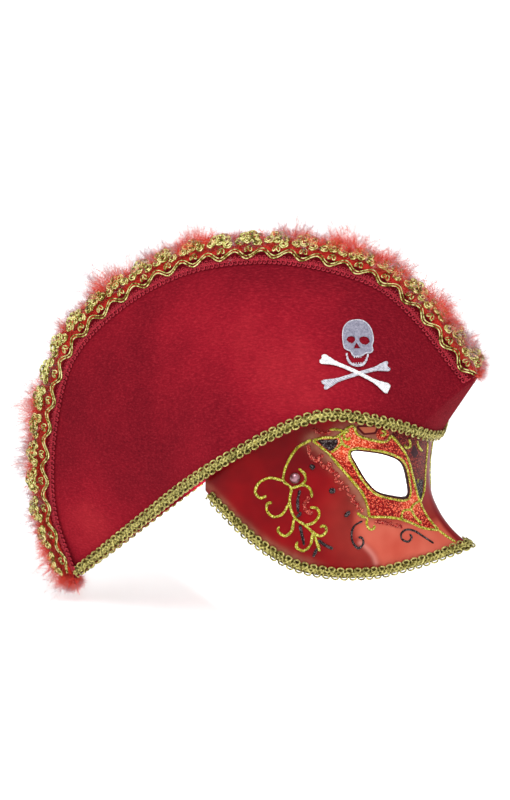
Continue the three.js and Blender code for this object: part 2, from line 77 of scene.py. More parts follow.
MASK_THICKNESS = 2.2
MASK_END_ANGLE = 111.0
CHEEK_LEVEL = -52.0
BROW_LEVEL = 24.0
CHEEK_RADIUS = [(0, 83), (17, 82.5), (27, 79), (42, 75), (60, 68.5), (80, 63.5), (98, 61), (112, 59)]
BROW_RADIUS = [
    (0, 92), (12, 92), (26, 88.5), (40, 80.5), (55, 70.5), (70, 64), (85, 61), (98, 59.5), (112, 58),
]
NOSE_RIDGE = [
    (-47, 117.5), (-40, 108.5), (-33, 102), (-26, 97.5), (-18, 94), (-8, 92.5), (2, 92.5),
    (12, 93.5), (26, 94),
]
NOSE_SPREAD = 11.5
NOSE_ROUNDING = 1.6
MASK_LOWER_EDGE = [
    (0, -46), (3, -46.8), (11, -51.5), (18, -54), (27, -56.2), (41, -55.4), (47, -54.4), (60, -50.8),
    (71, -44.4), (84, -34.5), (97, -22.8), (105, -16.5), (112, -11),
]
MASK_UPPER_EDGE = [
    (0, 18.5), (11, 21.5), (19, 25.5), (27, 30), (38, 34.5), (49, 37.5), (58, 35), (71, 27),
    (86, 17), (100, 6.5), (112, -3),
]
EYE_HOLE = [
    (40.2, 13.6), (33.6, 12.7), (27, 10), (20.4, 4.6), (16.5, -5), (15, -15.4), (22.9, -13.3),
    (28.9, -10), (33.4, -4.2), (37.9, 5.6),
]
EYE_LINE = 1.6  # from the hole's edge out to the middle of its gold line
TRIM_FRONT = PROW_SHARE + 0.004
TRIM_REAR = 0.99
EMBLEM_PLACE = (0.262, 0.4)
BEAD_PLACE = (62.2, -0.9)
BEAD_RADIUS = 3.0
TAB_PLACE = (93.0, -2.0)
DEGREE_MM = 1.31  # length of one degree round the mask, at its mean radius


# ------------------------------------------------------------------ curves
def unit(vectors):
    """Vectors scaled to length one."""
    return vectors / np.maximum(np.linalg.norm(vectors, axis=-1, keepdims=True), 1e-12)


def dot(a, b):
    """Row by row scalar product, kept as a column."""
    return np.sum(a * b, axis=-1, keepdims=True)


def smoothstep(value, low, high):
    """0 below low, 1 above high and smooth between."""
    t = np.clip((np.asarray(value, float) - low) / (high - low), 0, 1)
    return t * t * (3 - 2 * t)


def through(knots):
    """A smooth function through (x, y) knots, level beyond both ends."""
    x, y = np.array(knots, float).T
    before = np.maximum(np.arange(len(x)) - 1, 0)
    after = np.minimum(np.arange(len(x)) + 1, len(x) - 1)
    slope = (y[after] - y[before]) / (x[after] - x[before])

    def curve(at):
        at = np.clip(np.asarray(at, float), x[0], x[-1])
        i = np.clip(np.searchsorted(x, at, side="right") - 1, 0, len(x) - 2)
        width = x[i + 1] - x[i]
        t = (at - x[i]) / width
        level = (1 + 2 * t) * (1 - t) ** 2 * y[i] + t * t * (3 - 2 * t) * y[i + 1]
        return level + width * (t * (1 - t) ** 2 * slope[i] + t * t * (t - 1) * slope[i + 1])

    return curve


class Spline:
    """A centripetal Catmull-Rom curve through points, read by its share of length."""

    STEPS = 48

    def __init__(self, points, closed=False):
        p = np.array(points, float)
        if closed:
            p = np.vstack([p[-1], p, p[0], p[1]])
        else:
            p = np.vstack([2 * p[0] - p[1], p, 2 * p[-1] - p[-2]])
        a, b, c, d = p[:-3], p[1:-2], p[2:-1], p[3:]
        ab, bc, cd = (np.linalg.norm(v - u, axis=1)[:, None] ** 0.5 for u, v in ((a, b), (b, c), (c, d)))
        leave = ((b - a) / ab - (c - a) / (ab + bc) + (c - b) / bc) * bc
        arrive = ((c - b) / bc - (d - b) / (bc + cd) + (d - c) / cd) * bc
        t = (np.arange(self.STEPS) / self.STEPS)[None, :, None]
        cubic = (2 * b - 2 * c + leave + arrive)[:, None] * t**3
        square = (-3 * b + 3 * c - 2 * leave - arrive)[:, None] * t**2
        line = b[:, None] + leave[:, None] * t + square + cubic
        self.line = np.vstack([line.reshape(-1, p.shape[1]), c[-1:]])
        reach = np.concatenate([[0], np.cumsum(np.linalg.norm(np.diff(self.line, axis=0), axis=1))])
        self.length = reach[-1]
        self.share = reach / reach[-1]

    def __call__(self, share):
        share = np.asarray(share, float)
        columns = [np.interp(share, self.share, column) for column in self.line.T]
        return np.stack(columns, axis=-1)


# ------------------------------------------------------------------ surfaces of the hat and mask
lower_edge = Spline(LOWER_EDGE)
top_edge = Spline(TOP_EDGE)
cheek_radius, brow_radius, nose_ridge = through(CHEEK_RADIUS), through(BROW_RADIUS), through(NOSE_RIDGE)
mask_low, mask_high = through(MASK_LOWER_EDGE), through(MASK_UPPER_EDGE)


def outer_edge(along):
    """Outer edge of the right panel: up the prow seam, then over the top to the rear tip."""
    along = np.asarray(along, float)
    brow, prow = np.array(LOWER_EDGE[0], float), np.array(TOP_EDGE[0], float)
    seam = brow + (prow - brow) * (along / PROW_SHARE)[..., None]
    top = top_edge(np.clip((along - PROW_SHARE) / (1 - PROW_SHARE), 0, 1))
    return np.where((along < PROW_SHARE)[..., None], seam, top)


def panel_point(along, up):
    """Outer face of the right felt panel; along runs front to rear, up from lower edge to seam."""
    along, up = np.broadcast_arrays(np.asarray(along, float), np.asarray(up, float))
    low, high = lower_edge(along), outer_edge(along)
    bulge = PANEL_BULGE * 4 * up * (1 - up) * np.sin(np.pi * np.clip(along, 0, 1)) ** 0.7
    return low + (high - low) * up[..., None] + bulge[..., None] * np.array([-0.85, 0, 0.4])


def surface_normal(surface, a, b, step_a, step_b):
    """Unit normals of a surface function, facing away from the head."""
    by_a = surface(a + step_a, b) - surface(a - step_a, b)
    by_b = surface(a, b + step_b) - surface(a, b - step_b)
    normal = unit(np.cross(by_a, by_b))
    outwards = surface(a, b) * np.array([1, 0.25, 0])
    return np.where(dot(normal, outwards) < 0, -normal, normal)


def panel_normal(along, up):
    """Outward normal of the right felt panel."""
    along, up = np.broadcast_arrays(np.asarray(along, float), np.asarray(up, float))
    return surface_normal(panel_point, np.clip(along, 0.015, 0.985), np.clip(up, 0.02, 0.98), 0.006, 0.01)


def mask_radius(angle, z):
    """Distance of the mask's outer face from the head axis."""
    a = np.abs(angle)
    t = smoothstep(z, CHEEK_LEVEL, BROW_LEVEL)
    face = cheek_radius(a) * (1 - t) + brow_radius(a) * t
    middle = cheek_radius(0) * (1 - t) + brow_radius(0) * t
    from_ridge = np.hypot(a, NOSE_ROUNDING) - NOSE_ROUNDING
    return face + (nose_ridge(z) - middle) * np.exp(-((from_ridge / NOSE_SPREAD) ** 1.1))


def mask_point(angle, z):
    """Outer face of the mask; the angle from the nose is positive to the wearer's right."""
    angle, z = np.broadcast_arrays(np.asarray(angle, float), np.asarray(z, float))
    turn, radius = np.radians(angle), mask_radius(angle, z)
    return np.stack([-radius * np.sin(turn), -radius * np.cos(turn), z], axis=-1)


def mask_normal(angle, z):
    """Outward normal of the mask."""
    angle, z = np.broadcast_arrays(np.asarray(angle, float), np.asarray(z, float))
    normal = surface_normal(mask_point, angle, z, 0.6, 0.6)
    outwards = mask_point(angle, z) * np.array([1, 1, 0])
    return np.where(dot(normal, outwards) < 0, -normal, normal)


class Rail:
    """A line on the object, with the directions into the sheet and off it, read by length."""

    def __init__(self, at, inward, normal_hint):
        ahead = unit(np.gradient(at, axis=0))
        self.at = at
        self.inward = unit(inward - dot(inward, ahead) * ahead)
        normal = np.cross(ahead, self.inward)
        self.normal = np.where(dot(normal, normal_hint) < 0, -normal, normal)
        self.reach = np.concatenate([[0], np.cumsum(np.linalg.norm(np.diff(at, axis=0), axis=1))])
        self.length = self.reach[-1]

    def read(self, rows, s):
        """Rows of one of the rail's tables at lengths s."""
        return np.stack([np.interp(s, self.reach, column) for column in rows.T], axis=-1)

    def place(self, s, across, off):
        """Points at lengths s, so far into the sheet and so far off it."""
        s, across, off = np.broadcast_arrays(np.asarray(s, float), across, off)
        inward = self.read(self.inward, s) * across[..., None]
        return self.read(self.at, s) + inward + self.read(self.normal, s) * off[..., None]


def hat_edge_rail():
    """Lower edge of the hat from the right rear tip round the brow to the left rear tip."""
    t = np.linspace(0, 1, 1601)
    along = np.abs(1 - 2 * t) * 0.985
    left = np.where(t < 0.5, 1, -1)[:, None] * np.array([1, 0, 0]) + np.array([0, 1, 1])
    at = lower_edge(along)
    inward = unit(panel_point(along, 0.1) - panel_point(along, 0))
    facing = smoothstep(along, 0, 0.05)[:, None]
    prow = unit((np.array(TOP_EDGE[0]) - np.array(LOWER_EDGE[0])) * np.array([0, 1, 1]))
    inward = inward * facing + prow * (1 - facing)
    hint = panel_normal(along, 0.05) * facing + np.array([0, -prow[2], prow[1]]) * (1 - facing)
    return Rail(at * left, inward * left, hint * left)


def mask_edge_rail():
    """Lower edge of the mask from its left end to its right one."""
    t = np.linspace(-1, 1, 1601)
    angle = (MASK_END_ANGLE - 3) * np.sign(t) * np.abs(t) ** 1.4
    low = mask_low(np.abs(angle))
    at = mask_point(angle, low)
    return Rail(at, mask_point(angle, low + 3) - at, mask_normal(angle, low + 2))


def outer_rail():
    """Outer edge of the right panel, from the prow to the rear tip."""
    along = np.linspace(TRIM_FRONT, TRIM_REAR, 1201)
    inward = panel_point(along, 0.96) - panel_point(along, 1)
    return Rail(outer_edge(along), inward, panel_normal(along, 0.97))


def seam_rail(start, end, count):
    """A stretch of the seam between the two panels, in the middle plane."""
    along = np.linspace(start, end, count)
    flat = np.array([0, 1, 1])
    inward = (panel_point(along, 0.9) - panel_point(along, 1)) * flat
    return Rail(outer_edge(along) * flat, inward, np.array([-1.0, 0, 0]))


# ------------------------------------------------------------------ meshes
class Part:
    """Points, faces of four corners (the last is -1 on a triangle), thread UVs and point values."""

    def __init__(self, points, faces, uv=None, **values):
        self.points = np.asarray(points, float).reshape(-1, 3)
        self.faces = np.asarray(faces, int).reshape(-1, 4)
        self.uv = np.zeros((len(self.faces), 4, 2)) if uv is None else uv.reshape(-1, 4, 2)
        self.values = values

    def flipped(self):
        """The same part with its faces turned round."""
        order = np.where(self.faces[:, 3:] < 0, [2, 1, 0, 3], [3, 2, 1, 0])
        faces = np.take_along_axis(self.faces, order, axis=1)
        uv = np.take_along_axis(self.uv, order[..., None], axis=1)
        return Part(self.points, faces, uv, **self.values)

    def mirrored(self):
        """The same part on the other side of the head."""
        mirror = Part(self.points * np.array([-1, 1, 1]), self.faces, self.uv, **self.values)
        return mirror.flipped()

    def facing_out(self):
        """A closed part with its faces turned outwards."""
        corners = self.points[self.faces[:, :3]]
        volume = np.sum(corners[:, 0] * np.cross(corners[:, 1], corners[:, 2]))
        quads = self.faces[self.faces[:, 3] >= 0]
        rest = self.points[quads[:, [0, 2, 3]]]
        volume += np.sum(rest[:, 0] * np.cross(rest[:, 1], rest[:, 2]))
        return self if volume > 0 else self.flipped()


def join(parts):
    """Several parts as one."""
    parts = list(parts)
    starts = np.cumsum([0] + [len(p.points) for p in parts[:-1]])
    faces = [np.where(p.faces >= 0, p.faces + start, -1) for p, start in zip(parts, starts)]
    values = {key: np.concatenate([p.values[key] for p in parts]) for key in parts[0].values}
    points = np.vstack([p.points for p in parts])
    return Part(points, np.vstack(faces), np.vstack([p.uv for p in parts]), **values)


def grid_faces(columns, rows, start=0):
    """Quads of a grid whose points are numbered row by row within each column."""
    i, j = np.meshgrid(np.arange(columns - 1), np.arange(rows - 1), indexing="ij")
    a = (start + i * rows + j).ravel()
    return np.stack([a, a + rows, a + rows + 1, a + 1], axis=-1)


def cap_faces(centre, rim):
    """Triangles from a centre point to a closed ring of points, all given by number."""
    count = len(rim)
    return np.stack([np.full(count, centre), rim, np.roll(rim, -1), np.full(count, -1)], axis=-1)


def slab(outer, inner):
    """A closed sheet between two grids of points."""
    columns, rows = outer.shape[:2]
    shift = columns * rows
    numbers = np.arange(shift).reshape(columns, rows)
    rim = np.concatenate([numbers[:-1, 0], numbers[-1, :-1], numbers[:0:-1, -1], numbers[0, :0:-1]])
    after = np.roll(rim, -1)
    faces = [
        grid_faces(columns, rows),
        grid_faces(columns, rows, shift)[:, ::-1],
        np.stack([after, rim, rim + shift, after + shift], axis=-1),
    ]
    points = np.vstack([outer.reshape(-1, 3), inner.reshape(-1, 3)])
    return Part(points, np.vstack(faces)).facing_out()


def tube(line, up, radius, sides=6, closed=False, flat=1.0):
    """A thread along a line, as high as flat times its width in the up direction."""
    line = np.asarray(line, float)
    count = len(line)
    ahead = np.roll(line, -1, 0) - np.roll(line, 1, 0) if closed else np.gradient(line, axis=0)
    side = unit(np.cross(unit(ahead), up))
    over = np.cross(side, unit(ahead))
    turn = 2 * np.pi * np.arange(sides) / sides
    ring = side[:, None] * np.cos(turn)[:, None] + over[:, None] * np.sin(turn)[:, None] * flat
    points = line[:, None] + ring * np.broadcast_to(radius, count)[:, None, None]
    i, j = np.meshgrid(np.arange(count if closed else count - 1), np.arange(sides), indexing="ij")
    after, beside = (i + 1) % count, (j + 1) % sides
    near, far = i * sides, after * sides
    faces = np.stack([near + j, far + j, far + beside, near + beside], axis=-1)
    steps = np.linalg.norm(np.roll(line, -1, 0) - line, axis=1)
    reach = np.concatenate([[0], np.cumsum(steps)])
    corners = ((reach[i], j), (reach[i + 1], j), (reach[i + 1], j + 1), (reach[i], j + 1))
    uv = np.stack([np.stack([length, around / sides], axis=-1) for length, around in corners], axis=2)
    body = Part(points, faces, uv)
    if closed:
        return body
    ends = []
    for station, turn_round in ((0, False), (count - 1, True)):
        rim = body.points[station * sides:(station + 1) * sides]
        cap = Part(np.vstack([line[station], rim]), cap_faces(0, np.arange(sides) + 1))
        ends.append(cap.flipped() if turn_round else cap)
    return join([body, *ends])


def ribbons(stations, widths, **values):
    """Flat tapered strips; stations is (strips, stations, 3), widths the half width vectors."""
    strips, count = stations.shape[:2]
    points = np.stack([stations - widths, stations + widths], axis=2).reshape(-1, 3)
    start = (np.arange(strips) * count * 2)[:, None] + np.arange(count - 1)[None] * 2
    start = start.ravel()
    faces = np.stack([start, start + 1, start + 3, start + 2], axis=-1)
    return Part(points, faces, **{key: np.repeat(v.ravel(), 2) for key, v in values.items()})


def place(name, part, material, nodes=()):
    """Makes a Blender object of a part, in metres, riding on the frame."""
    used = part.faces >= 0
    mesh = bpy.data.meshes.new(name)
    mesh.vertices.add(len(part.points))
    mesh.vertices.foreach_set("co", (part.points * 0.001).astype(np.float32).ravel())
    mesh.loops.add(int(used.sum()))
    mesh.loops.foreach_set("vertex_index", part.faces[used].astype(np.int32))
    mesh.polygons.add(len(part.faces))
    totals = used.sum(axis=1)
    mesh.polygons.foreach_set("loop_start", (np.cumsum(totals) - totals).astype(np.int32))
    mesh.uv_layers.new(name="thread").data.foreach_set("uv", part.uv[used].astype(np.float32).ravel())
    for key, value in part.values.items():
        mesh.attributes.new(key, "FLOAT", "POINT").data.foreach_set("value", value.astype(np.float32))
    mesh.update(calc_edges=True)
    mesh.polygons.foreach_set("use_smooth", np.full(len(part.faces), True))
    mesh.materials.append(material)
    made = bpy.data.objects.new(name, mesh)
    bpy.context.scene.collection.objects.link(made)
    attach(made, "root")
    if nodes:
        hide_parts(*nodes)
    return made


def place_pair(name, part, material, node=None):
    """Places a part of the right side and its mirror image on the left."""
    pair = []
    for side, shape in (("right", part), ("left", part.mirrored())):
        nodes = [f"{node}_{side}"] if node else []
        pair.append(place(f"{name}_{side}", shape, material, nodes))
    return pair


# ------------------------------------------------------------------ materials
FIBRE_SHARE = 0.42  # how much of the felt's colour comes from its fibres
WEAVE = 9000.0  # radians of a weave to a metre: one thread every 0.7 mm
GLUE_FLAKE = 0.4

# Each thread's tones: painted shade, its own colour and painted highlight; the gold threads also set the
# share and size of their random painted glints.
THREADS = {
    "gold_thread": {
        "tones": ((66, 56, 14), (152, 136, 54), (238, 230, 146)),
        "metallic": 0.6, "roughness": 0.28, "glint_share": 0.55, "glint_size": 1.5,
    },
    "gold_cord": {
        "tones": ((88, 80, 20), (190, 182, 76), (255, 252, 178)),
        "metallic": 0.5, "roughness": 0.25, "glint_share": 0.72, "glint_size": 2.0,
    },
    "gold_tape": {"tones": ((50, 40, 12), (84, 70, 24), (120, 104, 44)), "metallic": 0.2, "roughness": 0.6},
    "red_thread": {"tones": ((112, 8, 26), (166, 22, 42), (200, 54, 70)), "roughness": 0.7},
    "grey_thread": {"tones": ((108, 106, 124), (140, 138, 156), (170, 168, 184)), "twist": 0.8},
    "white_thread": {"tones": ((140, 140, 152), (192, 191, 202), (222, 220, 228)), "twist": 0.8},
    "bright_thread": {
        "tones": ((196, 196, 200), (236, 235, 236), (250, 250, 250)), "roughness": 0.45, "twist": 0.8,
    },
    "dark_thread": {"tones": ((20, 18, 20), (40, 36, 38), (80, 76, 80)), "roughness": 0.6},
}
# Glitter tones: painted shade, the glitter's own colour and painted glints of light.
GLUES = {
    "gold_glitter": {"tones": ((96, 84, 8), (200, 196, 34), (255, 252, 150)), "metallic": 0.4},
    "red_glitter": {"tones": ((96, 4, 8), (184, 22, 20), (255, 150, 128)), "metallic": 0.1},
    "black_glitter": {"tones": ((2, 0, 1), (9, 5, 6), (130, 112, 114)), "metallic": 0.0},
}


def colour(shade):
    """Linear colour of red, green and blue display values from 0 to 255."""
    linear = [((v / 255 + 0.055) / 1.055) ** 2.4 if v > 10 else v / 255 / 12.92 for v in shade]
    return (*linear, 1.0)


class Finish:
    """A node material with short calls for the nodes that the surfaces share."""

    def __init__(self, name, **settings):
        self.material = bpy.data.materials.new(name)
        self.material.use_nodes = True
        self.tree = self.material.node_tree
        self.shader = self.tree.nodes["Principled BSDF"]
        self.where = self.node("TexCoord").outputs["Object"]
        for socket, value in settings.items():
            self.set(socket.replace("_", " "), value)

    def feed(self, socket, value):
        """Links a socket, or sets it to a number, a vector or a colour of display values."""
        if isinstance(value, bpy.types.NodeSocket):
            self.tree.links.new(value, socket)
        else:
            socket.default_value = colour(value) if socket.type == "RGBA" else value

    def set(self, name, value):
        """Feeds one of the shader's sockets."""
        self.feed(self.shader.inputs[name], value)

    def node(self, kind, inputs=(), **settings):
        """A node with its settings, and its inputs given as values or linked sockets."""
        made = self.tree.nodes.new("ShaderNode" + kind)
        for key, value in settings.items():
            setattr(made, key, value)
        for key, value in dict(inputs).items():
            self.feed(made.inputs[key], value)
        return made

    def noise(self, size, detail, where=None, roughness=0.5):
        """Noise whose lumps are about size millimetres across."""
        inputs = {"Vector": where or self.where, "Scale": 1000 / size}
        inputs |= {"Detail": detail, "Roughness": roughness}
        return self.node("TexNoise", inputs).outputs["Fac"]

    def value(self, name):
        """One of the mesh's own point values."""
        return self.node("Attribute", attribute_name=name).outputs["Fac"]

    def ramp(self, factor, stops):
        """A colour that runs through (position, colour) stops."""
        stops = list(stops)
        made = self.node("ValToRGB", {"Fac": factor})
        while len(made.color_ramp.elements) < len(stops):
            made.color_ramp.elements.new(0.5)
        for element, (position, shade) in zip(made.color_ramp.elements, stops):
            element.position = position
            element.color = colour(shade)
        return made.outputs["Color"]

    def mix(self, factor, first, second):
        """Two colours mixed by a factor."""
        return self.node("Mix", {0: factor, 6: first, 7: second}, data_type="RGBA").outputs[2]

    def range(self, value, low, high, to_low=0.0, to_high=1.0):
        """A value carried from one range to another and held inside it."""
        inputs = {"Value": value, "From Min": low, "From Max": high, "To Min": to_low, "To Max": to_high}
        return self.node("MapRange", inputs).outputs["Result"]

    def math(self, operation, first, second=0.0):
        """Arithmetic on two values."""
        return self.node("Math", {0: first, 1: second}, operation=operation).outputs[0]

    def stripes(self, angle):
        """Bands from 0 to 1 out of an angle that grows across the surface."""
        return self.range(self.math("SINE", angle), -1.0, 1.0)

    def glitter(self, size, tones):
        """Colour, and a height, of tightly packed flakes about size millimetres across; the flakes' random
        tones run from painted shade to painted glints of light.
        """
        flakes = self.node("TexVoronoi", {"Vector": self.where, "Scale": 1000 / size}).outputs["Color"]
        split = self.node("SeparateColor", {"Color": flakes})
        return self.ramp(split.outputs["Red"], zip((0.18, 0.62, 0.97), tones)), split.outputs["Green"]

    def bump(self, height, depth, strength):
        """Raises the surface by up to depth millimetres."""
        inputs = {"Height": height, "Distance": depth * 0.001, "Strength": strength}
        normal = self.shader.inputs["Normal"]
        if normal.is_linked:
            inputs["Normal"] = normal.links[0].from_socket
        self.set("Normal", self.node("Bump", inputs).outputs["Normal"])


def felt_finish():
    """Pressed red felt: mottled colour with painted light and shade, fine fibres and a soft sheen."""
    felt = Finish(
        "red_felt", Roughness=0.95, Specular_IOR_Level=0.06,
        Sheen_Weight=0.08, Sheen_Roughness=0.5, Sheen_Tint=(255, 120, 120),
    )
    mottle = felt.range(felt.noise(38, 2), 0.3, 0.7, -0.22, 0.22)
    # The point value shade is painted light and shade: lighter where the panel faces the lamps, darker
    # where it turns from them. The mottle adds random tone.
    painted_light_and_mottle = felt.math("ADD", felt.value("shade"), mottle)
    patches = felt.ramp(painted_light_and_mottle, [(0.0, (75, 5, 20)), (0.5, (131, 18, 34)), (1.0, (178, 46, 53))])
    stretched = felt.node("Mapping", {"Vector": felt.where, "Scale": (1.0, 0.35, 1.0)}).outputs[0]
    # Fibre tone is partly random grain and partly painted shade: the same noise raises the fibres, so the
    # hollows between them are darker.
    fibres = felt.noise(0.9, 5, stretched, 0.7)
    fluff = felt.ramp(fibres, [(0.3, (104, 8, 22)), (0.52, (152, 20, 36)), (0.75, (198, 52, 62))])
    felt.set("Base Color", felt.mix(FIBRE_SHARE, patches, fluff))
    felt.bump(fibres, 0.25, 0.7)
    felt.bump(felt.noise(5, 3), 0.5, 0.35)
    return felt.material


def lining_finish():
    """Plain woven lining, dark red, with its two thread directions, painted darker as shade in the hollows
    of the weave.
    """
    lining = Finish("woven_lining", Roughness=0.6, Sheen_Weight=0.2)
    split = lining.node("SeparateXYZ", {"Vector": lining.where})
    warp, weft = (
        lining.math("SINE", lining.math("MULTIPLY", split.outputs[axis], WEAVE)) for axis in "YZ"
    )
    height = lining.range(lining.math("MULTIPLY", warp, weft), -1.0, 1.0)
    # The weave's hollows are painted darker: painted shade.
    lining.set("Base Color", lining.ramp(height, [(0.2, (70, 8, 18)), (0.8, (118, 18, 32))]))
    lining.bump(height, 0.15, 0.6)
    lining.bump(lining.noise(12, 2), 0.8, 0.5)
    return lining.material


def thread_finish(name, tones, metallic=0.0, roughness=0.5, twist=0.35, glint_share=0.45, glint_size=1.3):
    """Twisted thread: stripes that wind round it every twist millimetres, painted dark as shade in the
    twist's grooves and light as highlight on its ridges, and random painted glints.
    """
    thread = Finish(name, Metallic=metallic, Roughness=roughness, Specular_IOR_Level=0.25)
    uv = thread.node("UVMap", uv_map="thread").outputs[0]
    split = thread.node("SeparateXYZ", {"Vector": uv})
    along = thread.math("MULTIPLY", split.outputs["X"], 2 * math.pi / twist)
    around = thread.math("MULTIPLY", split.outputs["Y"], 2 * math.pi)
    stripes = thread.stripes(thread.math("ADD", along, around))
    # Random painted glints: spots of painted highlight and painted shade.
    painted_glints = thread.range(thread.noise(glint_size, 2), 0.32, 0.68)
    twisted = thread.math("MULTIPLY", stripes, 1 - glint_share)
    tone = thread.math("ADD", twisted, thread.math("MULTIPLY", painted_glints, glint_share))
    # The tones run from painted shade in the grooves, through the thread's own colour, to painted highlight
    # on the ridges.
    thread.set("Base Color", thread.ramp(tone, zip((0.28, 0.46, 0.66), tones)))
    thread.bump(stripes, 0.12, 0.8)
    return thread.material


def glue_finish(name, tones, metallic):
    """Dried glitter glue: flakes set in a clear rounded bead, thin in places."""
    glue = Finish(
        name, Metallic=metallic, Roughness=0.3, Specular_IOR_Level=0.14,
        Coat_Weight=0.05, Coat_Roughness=0.15,
    )
    shade, height = glue.glitter(GLUE_FLAKE, tones)
    thin = glue.range(glue.noise(2.6, 2), 0.5, 0.68, 0.0, 0.55)
    glue.set("Base Color", glue.mix(thin, shade, tones[0]))
    glue.set("Roughness", glue.range(height, 0.0, 1.0, 0.15, 0.5))
    glue.bump(height, 0.16, 0.9)
    return glue.material


def mask_finish():
    """Hand-painted glossy mask, with a painted highlight on the cheek's crease and painted shade round the
    eye holes; the paint's outlines come from distances kept on the mesh.
    """
    mask = Finish(
        "painted_mask", Roughness=0.32, Specular_IOR_Level=0.17, Specular_Tint=(255, 150, 150),
        Coat_Weight=0.07, Coat_Roughness=0.2,
    )

    def inside(name, outer=0.2, inner=-0.2):
        """Share of a paint that fills an outline, with a soft edge from outer to inner."""
        return mask.range(mask.value(name), outer, inner)

    mottle = mask.noise(22, 2)
    shade = mask.ramp(mottle, [(0.3, (98, 2, 10)), (0.7, (138, 5, 13))])
    salmon = mask.ramp(mottle, [(0.3, (184, 72, 56)), (0.7, (204, 102, 82))])
    cloud = mask.range(mask.noise(7, 3), 0.35, 0.65, 0.45, 1.0)
    band, bridge, black = inside("band"), inside("bridge"), inside("black")
    # Flakes of the painted glitter, their tones running from painted shade to painted glints of light.
    red_flakes, height = mask.glitter(0.6, ((96, 4, 6), (168, 18, 14), (255, 120, 88)))
    orange_flakes, _ = mask.glitter(0.6, ((184, 36, 20), (232, 84, 46), (255, 180, 140)))
    bridge_flakes, _ = mask.glitter(0.5, ((56, 4, 8), (96, 14, 16), (170, 66, 50)))
    black_flakes, _ = mask.glitter(0.5, ((4, 4, 5), (16, 14, 16), (120, 112, 112)))
    coats = [
        (mask.value("salmon"), salmon),
        (mask.math("MULTIPLY", mask.value("airbrush"), cloud), (164, 122, 96)),
        # A painted highlight along the cheek's crease.
        (mask.value("painted_crease_highlight"), (232, 156, 144)),
        (bridge, bridge_flakes),
        (inside("diamond"), (46, 8, 22)),
        (band, red_flakes),
        (mask.math("MULTIPLY", band, mask.value("warm")), orange_flakes),
        (black, black_flakes),
        (inside("leaf", 1.3, 0.9), (74, 12, 18)),
        (inside("leaf"), (190, 100, 72)),
        # A dark ring on the outer face round each eye hole: painted shade of the hole's wall.
        (inside("hole", 1.0, 0.7), (34, 20, 20)),
        (inside("depth", 0.08, 0.16), (34, 22, 24)),
        (inside("depth", 0.8, 0.9), (240, 238, 236)),
    ]
    for share, paint in coats:
        shade = mask.mix(share, shade, paint)
    mask.set("Base Color", shade)
    flaked = mask.math("MAXIMUM", band, mask.math("MAXIMUM", black, bridge))
    mask.set("Roughness", mask.range(flaked, 0.0, 1.0, 0.34, 0.5))
    mask.bump(mask.math("MULTIPLY", flaked, height), 0.14, 0.9)
    mask.bump(mask.noise(9, 2), 0.25, 0.2)
    return mask.material


def feather_finish():
    """Dyed down: orange red at the root, greyish pink at the tips."""
    down = Finish("dyed_feathers", Roughness=0.75, Sheen_Weight=0.3)
    uneven = down.range(down.noise(9, 2), 0.3, 0.7, -0.16, 0.16)
    tip = down.math("ADD", down.value("tip"), uneven)
    stops = [(0.05, (222, 26, 12)), (0.44, (246, 66, 30)), (0.68, (230, 104, 76)), (0.9, (190, 160, 168))]
    down.set("Base Color", down.ramp(tip, stops))
    return down.material


def pearl_finish():
    """Pearl bead of pink clouds under a clear coat, painted darker towards its edge as shade."""
    pearl = Finish("pink_pearl", Roughness=0.2, Coat_Weight=0.6, Coat_Roughness=0.05, Metallic=0.5)
    # Facing darkens the colour where the bead turns from the view: painted shade at its edge.
    painted_edge_shade = pearl.node("LayerWeight", {"Blend": 0.4}).outputs["Facing"]
    clouds = pearl.ramp(pearl.noise(2.4, 1), [(0.38, (84, 14, 30)), (0.62, (176, 124, 136))])
    pearl.set("Base Color", pearl.mix(pearl.range(painted_edge_shade, 0.25, 0.8), clouds, (58, 10, 20)))
    return pearl.material


def tab_finish():
    """Black grosgrain tab with its cross ribs, painted darker as shade between the ribs."""
    tab = Finish("grosgrain_tab", Roughness=0.7, Sheen_Weight=0.3)
    height = tab.node("SeparateXYZ", {"Vector": tab.where}).outputs["Z"]
    ribs = tab.stripes(tab.math("MULTIPLY", height, WEAVE))
    # The hollows between the ribs are painted darker: painted shade.
    tab.set("Base Color", tab.ramp(ribs, [(0.2, (16, 14, 15)), (0.8, (44, 40, 42))]))
    tab.bump(ribs, 0.2, 0.7)
    return tab.material


# ------------------------------------------------------------------ felt panels and lining
WHOLE_PANEL = {"front": 0.0, "rear": 1.0, "low": 0.0, "high": 1.0}
# Painted light and shade of the felt: a base level, then patches of painted light (amount above 0) where
# the panel faces the lamps, and of painted shade (amount below 0) where it turns from them.
PAINTED_LIGHT_BASE = 0.17
PAINTED_LIGHT_PATCHES = [
    (5, 70, 46, 28, 0.42), (-34, 52, 26, 24, 0.42), (96, -42, 30, 26, 0.5), (-118, 40, 32, 60, -0.4),
    (78, 30, 34, 34, -0.2), (-84, 84, 30, 40, -0.3), (10, 116, 70, 16, -0.3),
]


def panel_layer(reach, depth, thickness, columns, rows, ripple):
    """A closed layer of the right panel, below its outer face, with a gentle ripple."""
    column = reach["front"] + (reach["rear"] - reach["front"]) * np.linspace(0, 1, columns)
    row = reach["low"] + (reach["high"] - reach["low"]) * np.linspace(0, 1, rows)
    along, up = np.meshgrid(column, row, indexing="ij")
    face, normal = panel_point(along, up), panel_normal(along, up)
    inside = 16 * up * (1 - up) * along * (1 - along)
    wave = ripple * inside * (np.sin(17 * along + 4 * up) + 0.6 * np.sin(31 * along - 9 * up))
    outer = face + normal * (wave - depth)[..., None]
    return slab(outer, outer - normal * thickness)


